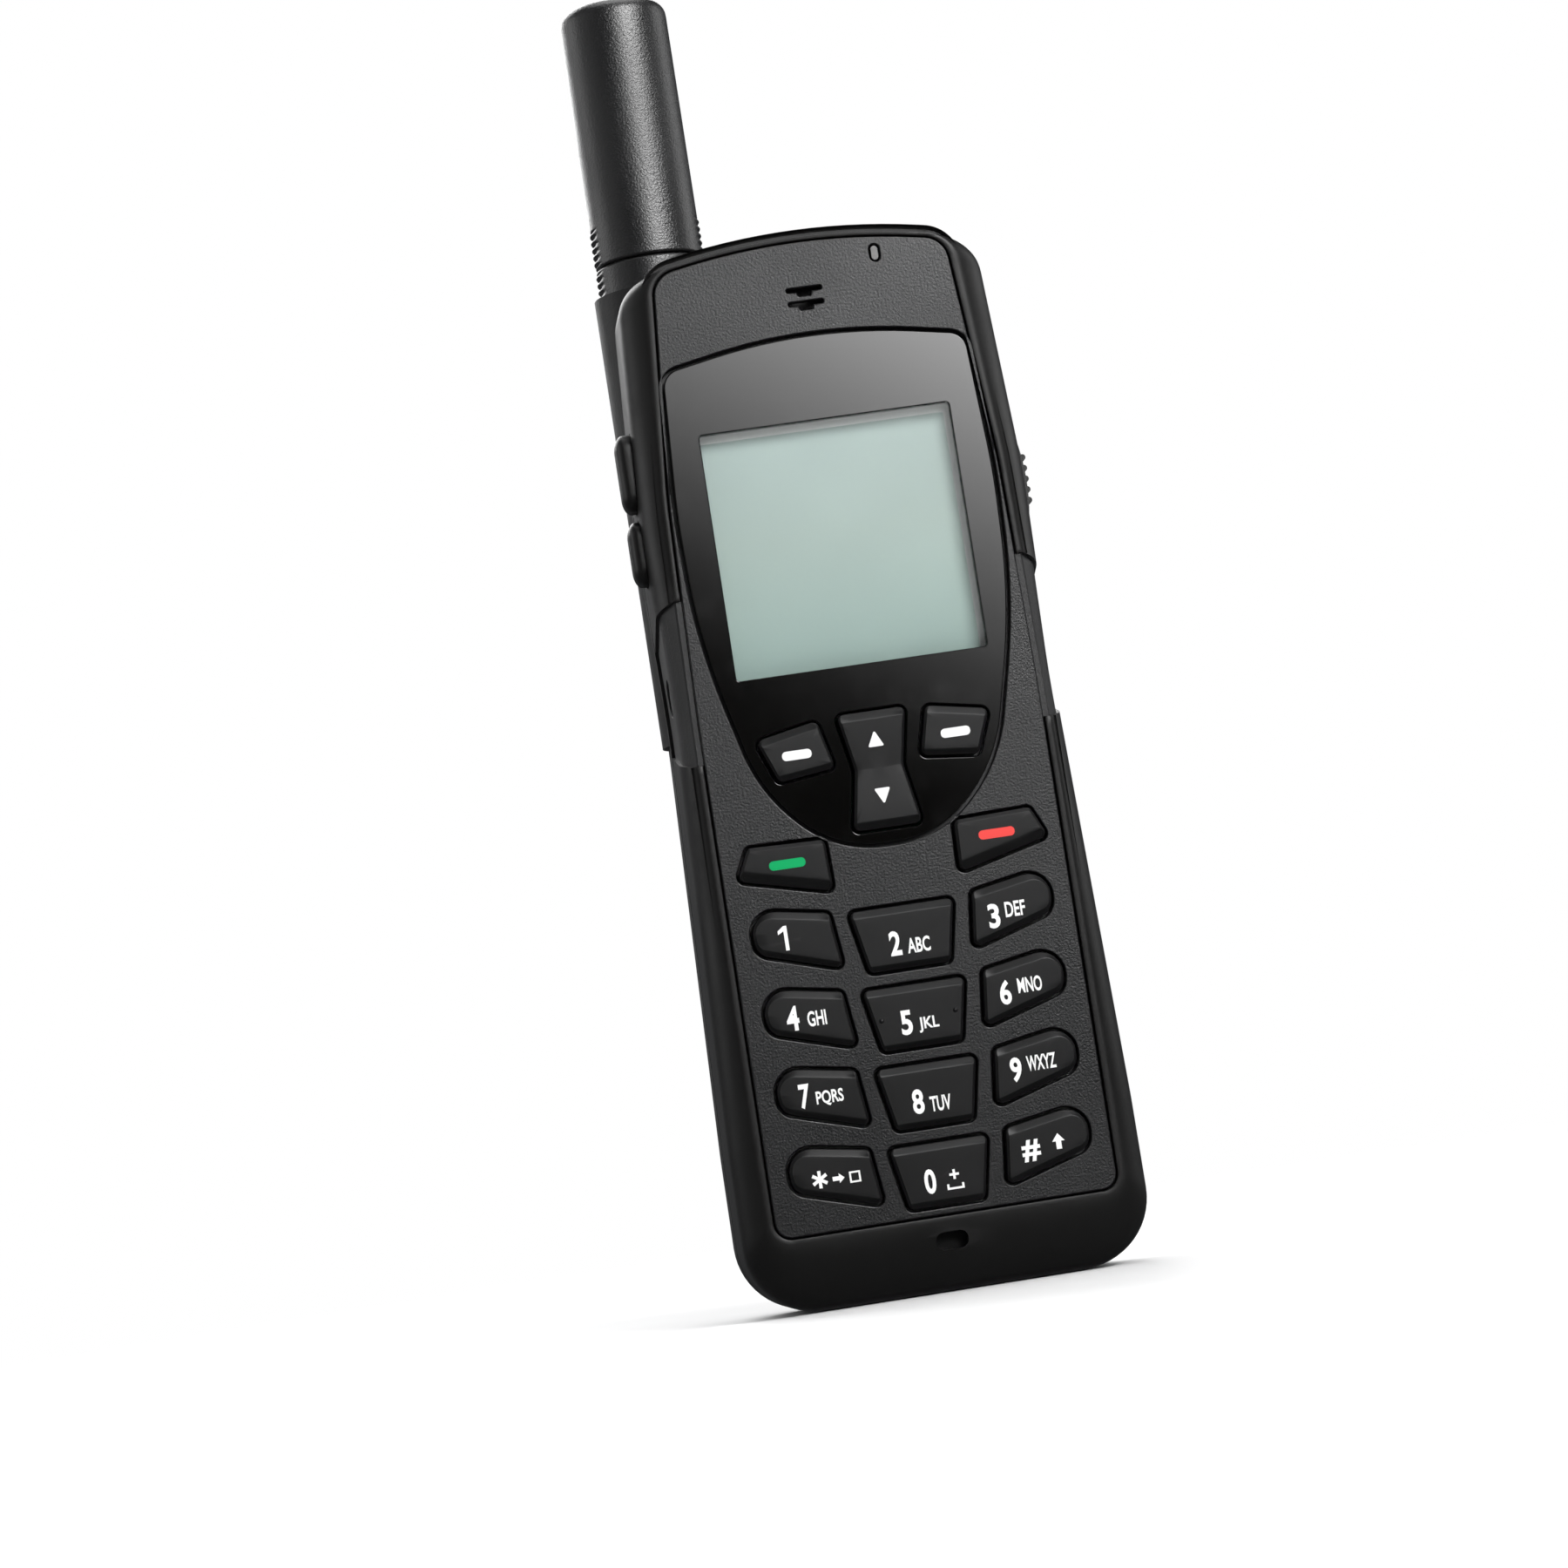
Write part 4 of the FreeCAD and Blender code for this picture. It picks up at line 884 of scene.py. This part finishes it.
def on_surface(mesh, host):
    """Lays a flat printed mesh on the face of its host, as thin as ink."""
    tree = BVHTree.FromPolygons(
        [v.co.copy() for v in host.data.vertices], [tuple(p.vertices) for p in host.data.polygons]
    )
    for vertex in mesh.vertices:
        hit = tree.ray_cast(Vector((vertex.co.x, -0.1, vertex.co.z)), Vector((0, 1, 0)))
        if hit[0] is not None:
            vertex.co.y = hit[0].y - PRINT_LIFT * MM * (1 if vertex.co.y < 0 else -1)


def film(name, curve, place, width, host_name, paint):
    """A printed mark: the curve's fill, scaled and set on a key's face."""
    mesh = curve_mesh(name, curve)
    xs = [v.co.x for v in mesh.vertices]
    ys = [v.co.y for v in mesh.vertices]
    cx, cy = (min(xs) + max(xs)) / 2, (min(ys) + max(ys)) / 2
    wide = width / (max(xs) - min(xs))
    tall = place[2] / (max(ys) - min(ys))
    with edited(mesh) as build:
        for v in build.verts:
            v.co = Vector((
                ((v.co.x - cx) * wide + place[0]) * MM,
                -1 if v.co.z >= 0 else 1,
                ((v.co.y - cy) * tall + place[1]) * MM,
            ))
        bmesh.ops.recalc_face_normals(build, faces=build.faces)
    on_surface(mesh, keycaps[host_name])
    return new_object(name, mesh, paint, host_name, "key_plastic", smooth=False)


def text_curve(words, bold):
    curve = bpy.data.curves.new("text", "FONT")
    curve.body = words
    curve.size = 1.0
    curve.offset = bold
    curve.extrude = PRINT_DEPTH
    curve.resolution_u = 4
    return curve


def shape_curve(outlines, arc=5):
    curve = outline_curve("shape", outlines, arc)
    curve.extrude = PRINT_DEPTH
    return curve


DIGIT_HIGH, LETTER_HIGH = 3.3, 2.05
DIGITS = {
    "key_1": ("1", -16.3, 49.6, 1.25),
    "key_2": ("2", -1.6, 46.75, 1.54),
    "key_3": ("3", 12.1, 48.4, 1.54),
    "key_4": ("4", -16.7, 38.9, 1.67),
    "key_5": ("5", -1.75, 36.1, 1.54),
    "key_6": ("6", 12.0, 38.1, 1.54),
    "key_7": ("7", -16.7, 28.45, 1.45),
    "key_8": ("8", -1.85, 25.5, 1.54),
    "key_9": ("9", 11.8, 27.7, 1.54),
    "key_star": ("*", -16.4, 17.3, 2.1),
    "key_0": ("0", -1.9, 14.8, 1.54),
    "key_hash": ("#", 12.1, 16.8, 2.5),
}
LETTERS = {
    "key_2": ("ABC", 1.5, 46.15, 3.3),
    "key_3": ("DEF", 15.05, 49.0, 2.9),
    "key_4": ("GHI", -13.5, 38.5, 2.7),
    "key_5": ("JKL", 1.2, 35.5, 2.9),
    "key_6": ("MNO", 15.4, 38.7, 3.5),
    "key_7": ("PQRS", -13.4, 27.85, 3.9),
    "key_8": ("TUV", 1.1, 24.9, 3.0),
    "key_9": ("WXYZ", 15.3, 28.25, 4.2),
}
ONE = [
    (0.15, -1.65, 0), (0.65, -1.65, 0), (0.65, 1.65, 0), (0.2, 1.65, 0),
    (-0.65, 1.05, 0), (-0.65, 0.55, 0), (0.15, 0.95, 0),
]
STAR_ARM, STAR_NOTCH = math.radians(11.5), 0.36
STAR = []
for k in range(6):
    a = math.pi / 2 + math.pi / 3 * k
    STAR += [(math.cos(tip), math.sin(tip), 0) for tip in (a - STAR_ARM, a + STAR_ARM)]
    STAR.append((STAR_NOTCH * math.cos(a + math.pi / 6), STAR_NOTCH * math.sin(a + math.pi / 6), 0))
OWN_MARKS = {"1": ONE, "*": STAR}
OWN_HEIGHTS = {"*": 2.3, "#": 2.9}
DIGIT_BOLD, LETTER_BOLD, LETTER_NARROW = 0.03, 0.022, 0.94
for node, (words, x, z, width) in DIGITS.items():
    high = OWN_HEIGHTS.get(words, DIGIT_HIGH)
    mark = shape_curve([OWN_MARKS[words]], 1) if words in OWN_MARKS else text_curve(words, DIGIT_BOLD)
    film(node + "_digit", mark, (x, z, high), width, node, WHITE)
for node, (words, x, z, width) in LETTERS.items():
    mark = text_curve(words, LETTER_BOLD)
    film(node + "_letters", mark, (x, z, LETTER_HIGH), width * LETTER_NARROW, node, WHITE)


BAR_HIGH, BAR_WIDE, CALL_BAR_WIDE = 1.25, 4.0, 4.9
BARS = {
    "soft_key_left": (-10.75, 73.6, WHITE),
    "soft_key_right": (10.85, 73.6, WHITE),
    "send_key": (-14.25, 59.35, GREEN),
    "end_key": (14.2, 59.35, RED),
}
for node, (x, z, paint) in BARS.items():
    wide = BAR_WIDE if paint is WHITE else CALL_BAR_WIDE
    bar = rectangle(-wide / 2, -BAR_HIGH / 2, wide / 2, BAR_HIGH / 2, BAR_HIGH * 0.45)
    film(node + "_bar", shape_curve([bar]), (x, z, BAR_HIGH), wide, node, paint)
triangle = [(-1.05, -0.95, 0.15), (1.05, -0.95, 0.15), (0, 1.15, 0.15)]
film("nav_key_up_mark", shape_curve([triangle]), (0.0, 74.2, 2.0), 2.0, "nav_key", WHITE)
downwards = [(-x, -z, r) for x, z, r in triangle]
film("nav_key_down_mark", shape_curve([downwards]), (-0.1, 66.6, 2.0), 2.0, "nav_key", WHITE)
arrow_right = [
    (-1, 0.35, 0), (0.1, 0.35, 0), (0.1, 0.8, 0), (1, 0, 0), (0.1, -0.8, 0), (0.1, -0.35, 0), (-1, -0.35, 0),
]
arrow_up = [(-0.4, -1, 0), (0.4, -1, 0), (0.4, 0, 0), (0.95, 0, 0), (0, 1, 0), (-0.95, 0, 0), (-0.4, 0, 0)]
film("key_star_arrow", shape_curve([arrow_right], 1), (-13.9, 17.1, 1.3), 1.6, "key_star", WHITE)
square = [rectangle(-1, -1, 1, 1), rectangle(-0.68, -0.68, 0.68, 0.68)]
film("key_star_box", shape_curve(square, 1), (-11.7, 17.0, 1.5), 1.5, "key_star", WHITE)
film("key_hash_arrow", shape_curve([arrow_up], 1), (15.9, 17.5, 2.1), 1.7, "key_hash", WHITE)
plus = [
    (-0.25, -1, 0), (0.25, -1, 0), (0.25, -0.25, 0), (1, -0.25, 0), (1, 0.25, 0), (0.25, 0.25, 0),
    (0.25, 1, 0), (-0.25, 1, 0), (-0.25, 0.25, 0), (-1, 0.25, 0), (-1, -0.25, 0), (-0.25, -0.25, 0),
]
film("key_0_plus", shape_curve([plus], 1), (1.4, 15.3, 1.3), 1.3, "key_0", WHITE)
space = [
    (-1, -0.4, 0), (1, -0.4, 0), (1, 0.4, 0), (0.75, 0.4, 0), (0.75, -0.1, 0), (-0.75, -0.1, 0),
    (-0.75, 0.4, 0), (-1, 0.4, 0),
]
film("key_0_space", shape_curve([space], 1), (1.4, 13.7, 0.75), 2.3, "key_0", WHITE)


# The raised dots on key 5: (radius, rise above the key's face).
DOT = [(0.34, -0.1), (0.33, 0.06), (0.24, 0.17), (0.1, 0.22)]
DOT_UP = 36.8


def dot_mesh(name, x, z, surface):
    rings = []
    for radius, rise in DOT:
        rings.append([(px, surface - rise, pz) for px, pz in circle(x, z, radius, 16)])
    return rings_mesh(name, rings)


for i, x in enumerate((-5.0, 5.0)):
    new_object("key_5_dot_%d" % i, dot_mesh("dot", x, DOT_UP, KEY_TOP), KEY_CAP, "key_5", "key_plastic")


# ------------------------------------------------------------------ antenna
RIB_WAIST, RIB_PROUD = 0.34, 0.17
STEM_R, NECK_R = 1.3, 6.2
DOME = 2.1
LATHE_STEPS = 128
RIB_STEP, PLAIN_STEP = 0.12, 4.0


def lathe(name, profile, paint, rides, slot, ribs, through=False):
    """A turned, hollow piece from (radius, height) pairs. Ribs are beads in a shallow waist at its back."""
    rings = []
    for radius, z in profile:
        ring = []
        for a in turns(LATHE_STEPS):
            back = max(0.0, min(1.0, 0.5 + 3.0 * (math.sin(a) + 0.25)))
            ribbed = radius > ANTENNA_R - 0.01 and ribs[0] - 0.5 < z < ribs[-1] + 0.5
            rise = -RIB_WAIST * back if ribbed else 0.0
            for up in ribs:
                near = abs(z - up) / 0.36
                if ribbed and near < 1:
                    rise += (RIB_WAIST + RIB_PROUD) * (1 - near * near) * back
            reach = radius + rise
            ring.append((AXIS_X + reach * math.cos(a), AXIS_Y + reach * math.sin(a), z))
        rings.append(ring)
    if through:
        rings.append(rings[0])
    return new_object(name, rings_mesh(name, rings, not through, not through), paint, rides, slot)


def heights(low, high, step):
    count = max(2, int(round((high - low) / step)))
    return [low + (high - low) * i / count for i in range(count + 1)]


low, high = SLEEVE_LOW.z, SLEEVE_HIGH.z
base_low, base_high = low_high("antenna_base")
SEAM_Z = low - 0.25
upper_ribs = [SEAM_Z + 1.1 + 1.0 * i for i in range(5)]
lower_ribs = [SEAM_Z - 3.9 + 1.0 * i for i in range(4)]
# Both skins are hollow along their axis, for the contact rod that the stowed antenna goes down over.
profile = [(STEM_R, low + 16), (STEM_R, base_high.z + 0.2)]
profile += [(NECK_R + 0.1, base_high.z + 0.2), (NECK_R + 0.1, low)]
profile += [(ANTENNA_R - 0.5, low), (ANTENNA_R - 0.15, low + 0.02), (ANTENNA_R, low + 0.2)]
profile += [(ANTENNA_R, z) for z in heights(low + 0.4, low + 6.4, RIB_STEP)]
profile += [(ANTENNA_R, z) for z in heights(low + 8, high - 2.4, PLAIN_STEP)]
for k in range(1, 9):
    a = math.pi / 2 * k / 8
    profile.append((ANTENNA_R - DOME + DOME * math.cos(a), high - DOME + DOME * math.sin(a)))
profile += [(ANTENNA_R - DOME - 1.6, high + 0.03), (1.0, high + 0.05)]
sleeve = lathe("antenna_sleeve_skin", profile, ANTENNA, "antenna_sleeve", "antenna_plastic", upper_ribs)
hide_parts("antenna_sleeve", "antenna_element")
collar = [(STEM_R, base_high.z), (STEM_R, base_low.z)]
collar += [(ANTENNA_R - 1.0, base_low.z), (ANTENNA_R, base_low.z + 0.3)]
collar += [(ANTENNA_R, z) for z in heights(base_low.z + 1, SEAM_Z - 5.5, PLAIN_STEP)]
collar += [(ANTENNA_R, z) for z in heights(SEAM_Z - 5.2, SEAM_Z - 0.3, RIB_STEP)]
collar += [(ANTENNA_R - 0.12, SEAM_Z - 0.06), (ANTENNA_R - 0.5, SEAM_Z)]
collar += [(NECK_R, SEAM_Z + 0.01), (NECK_R, base_high.z)]
base = lathe("antenna_collar_skin", collar, ANTENNA, "antenna_base", "antenna_plastic", lower_ribs, True)
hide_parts("antenna_base")


# ------------------------------------------------------------------ pieces carried over from the frame
SHARP = 38.0


def polished(node, name, paint, slot, rides=BODY, edge=0.0):
    """A copy of a node's mesh, joined at its seams and shaded smoothly, that stands for it."""
    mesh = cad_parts[node].data.copy()
    with edited(mesh) as build:
        bmesh.ops.remove_doubles(build, verts=build.verts, dist=2e-6)
        bmesh.ops.dissolve_limit(build, angle_limit=math.radians(0.6), verts=build.verts, edges=build.edges)
    if mesh.attributes.get("custom_normal"):
        mesh.attributes.remove(mesh.attributes["custom_normal"])
    made = new_object(name, mesh, paint, rides, slot)
    mesh.set_sharp_from_angle(angle=math.radians(SHARP))
    finish_edges(made, edge, SHARP + 10)
    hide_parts(node)


polished("battery_pack", "battery_shell", CASE, "battery_plastic", edge=0.1)
polished("battery_latch", "battery_latch_tab", KEY_CAP, "key_plastic", "battery_latch", edge=0.08)
polished("side_port_cover", "side_cover_flap", COVER, "cover_rubber", "side_port_cover", edge=0.12)
polished("bottom_port_cover", "bottom_cover_flap", COVER, "cover_rubber", "bottom_port_cover", edge=0.12)


PAD_CORNER, PAD_SLOPE, PAD_RISE = 2.2, 2.0, 1.15


def bump_pad(node, name):
    """A volume key: a soft oblong bump that swells out of the side and back in again."""
    low, high = low_high(node)
    outline = rectangle(low.y, low.z, high.y, high.z, PAD_CORNER)
    rings = [[(high.x, p.x, p.y) for p in sampled(outline, 8, 6)]]
    steps = 9
    for k in range(steps + 1):
        a = math.pi / 2 * k / steps
        loop = sampled(grow(outline, -PAD_SLOPE * (1 - math.cos(a))), 8, 6)
        rings.append([(low.x + PAD_RISE * (1 - math.sin(a)), p.x, p.y) for p in loop])
    made = new_object(name, rings_mesh(name, rings), SOFT_TOUCH, node, "cover_rubber")
    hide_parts(node)


bump_pad("volume_up_key", "volume_up_pad")
bump_pad("volume_down_key", "volume_down_pad")
polished("power_key", "power_pad", KEY_CAP, "key_plastic", "power_key")

CARRIED = [
    (CASE, "front_case"),
    (PRINT, "lens_mask"),
    (COVER, "case_gaskets"),
    (STEEL, "housing_screws key_domes vibration_motor shield_cans usb_socket power_jack headset_jack"),
    (STEEL, "sim_holder lanyard_pin"),
    (CAST, "chassis_frame"),
    (BOARD, "main_board keypad_board"),
    (SILICONE, "keypad_membrane"),
    (CARD, "backlight_panel sim_card"),
    (DARK, "earpiece_speaker ringer_speaker microphone"),
    (PIPE, "led_light_pipe"),
    (GOLD, "antenna_port battery_terminals battery_contacts antenna_contact"),
]
for paint, names in CARRIED:
    for node in names.split():
        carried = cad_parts[node].data
        carried.materials.clear()
        carried.materials.append(paint)

# ------------------------------------------------------------------ studio
FLOOR_R, FLOOR_CLEAR = 0.5, 0.08


def floor_material():
    """Pale paper that fades away towards its edge."""
    made = material("floor_paper", (0.86, 0.86, 0.86), 0.8, grain=0.02, grain_size=1.5, spread=0.01)
    nodes, link = made.node_tree.nodes, made.node_tree.links.new
    where = added(nodes, "TexCoord")
    reach = added(nodes, "VectorMath", "LENGTH")
    link(where.outputs["Object"], reach.inputs[0])
    fade = mapped(nodes, link, reach.outputs["Value"], FLOOR_CLEAR, FLOOR_R)
    fade.interpolation_type = "SMOOTHSTEP"
    clear = added(nodes, "BsdfTransparent")
    mix = added(nodes, "MixShader")
    link(fade.outputs["Result"], mix.inputs["Fac"])
    link(nodes["Principled BSDF"].outputs[0], mix.inputs[1])
    link(clear.outputs[0], mix.inputs[2])
    link(mix.outputs[0], nodes["Material Output"].inputs["Surface"])
    return made


floor_rings = []
for share in (0.05, 0.3, 0.6, 1.0):
    floor_rings.append([
        (FLOOR_R * share * math.cos(a) / MM, FLOOR_R * share * math.sin(a) / MM, -0.2)
        for a in turns(96)
    ])
floor = placed("floor", rings_mesh("floor", floor_rings, True, False))
floor.data.materials.append(floor_material())
floor.visible_glossy = False

# A soft reflector in front that the lens mirrors: dark below, brighter upwards and to the right.
REFLECTOR_WAY = (0.567, 0.0, 0.824)
REFLECTOR_FROM, REFLECTOR_TO, REFLECTOR_GLOW = 0.178, 0.43, 25.0


def reflector_material():
    """A glow that grows with the square of the way along it."""
    made, nodes, link = blank_material("reflector")
    nodes.clear()
    where = added(nodes, "TexCoord")
    along = added(nodes, "VectorMath", "DOT_PRODUCT", {1: REFLECTOR_WAY})
    link(where.outputs["Object"], along.inputs[0])
    fade = mapped(nodes, link, along.outputs["Value"], REFLECTOR_FROM, REFLECTOR_TO)
    squared = added(nodes, "Math", "POWER", {1: 2.0})
    link(fade.outputs["Result"], squared.inputs[0])
    scaled = added(nodes, "Math", "MULTIPLY", {1: REFLECTOR_GLOW})
    link(squared.outputs[0], scaled.inputs[0])
    glow = added(nodes, "Emission")
    link(scaled.outputs[0], glow.inputs["Strength"])
    output = added(nodes, "OutputMaterial")
    link(glow.outputs[0], output.inputs["Surface"])
    return made


reflector_points = [(x, -900, z) for x, z in ((-60, 40), (300, 40), (300, 370), (-60, 370))]
reflector = placed("reflector", mesh_from("reflector", reflector_points, [(0, 1, 2, 3)]))
reflector.data.materials.append(reflector_material())
reflector.visible_camera = False
reflector.visible_shadow = False

world = bpy.data.worlds.new("studio")
bpy.context.scene.world = world
world.use_nodes = True
nodes, link = world.node_tree.nodes, world.node_tree.links.new
nodes.clear()
output = added(nodes, "OutputWorld")
seen = added(nodes, "Background", values={"Color": (1, 1, 1, 1), "Strength": 1.0})
fill = added(nodes, "Background", values={"Color": (0.93, 0.95, 1.0, 1), "Strength": 0.08})
path = added(nodes, "LightPath")
choose = added(nodes, "MixShader")
link(path.outputs["Is Camera Ray"], choose.inputs["Fac"])
link(fill.outputs[0], choose.inputs[1])
link(seen.outputs[0], choose.inputs[2])
link(choose.outputs[0], output.inputs["Surface"])

bpy.context.scene.view_settings.view_transform = "Standard"

CENTRE = (0, 0, 0.08)
# White area lights that face the middle of the phone: (place, width, height, power).
SOFTBOXES = {
    "key_softbox": ((0.33, -0.60, 0.50), 0.36, 0.28, 6.2),
    "side_softbox": ((-1.0, -0.35, 0.5), 0.7, 0.9, 0.6),
    "left_softbox": ((-1.0, 0.35, 0.40), 0.5, 0.6, 1.5),
    "top_softbox": ((0.1, 0.1, 1.2), 0.9, 0.9, 6.0),
    "back_softbox": ((-0.2, 1.0, 0.75), 0.9, 0.8, 14.0),
    "right_softbox": ((1.0, 0.35, 0.40), 0.5, 0.6, 1.8),
}
for name, (place, width, high, power) in SOFTBOXES.items():
    light = bpy.data.lights.new(name, "AREA")
    light.shape = "RECTANGLE"
    light.size, light.size_y = width, high
    light.energy = power
    made = placed(name, light)
    made.location = place
    made.rotation_euler = (Vector(CENTRE) - Vector(place)).to_track_quat("-Z", "Y").to_euler()

# The camera stands at the photograph's place: low, a little to the left, rolled with the phone.
CAMERA_PLACE = (-0.0692, -0.5926, 0.0221)
camera_data = bpy.data.cameras.new("camera")
camera_data.sensor_width = 36.0
camera_data.lens = 100.0
camera_data.clip_start, camera_data.clip_end = 0.01, 20.0
camera = placed("camera", camera_data)
back = Vector((-0.0966, -0.9919, -0.0824)).normalized()
right = Vector((0.9848, -0.0832, -0.1527))
right = (right - back * right.dot(back)).normalized()
up = back.cross(right)
turn = Matrix((right, up, back)).transposed().to_4x4()
camera.matrix_world = Matrix.Translation(CAMERA_PLACE) @ turn
bpy.context.scene.camera = camera
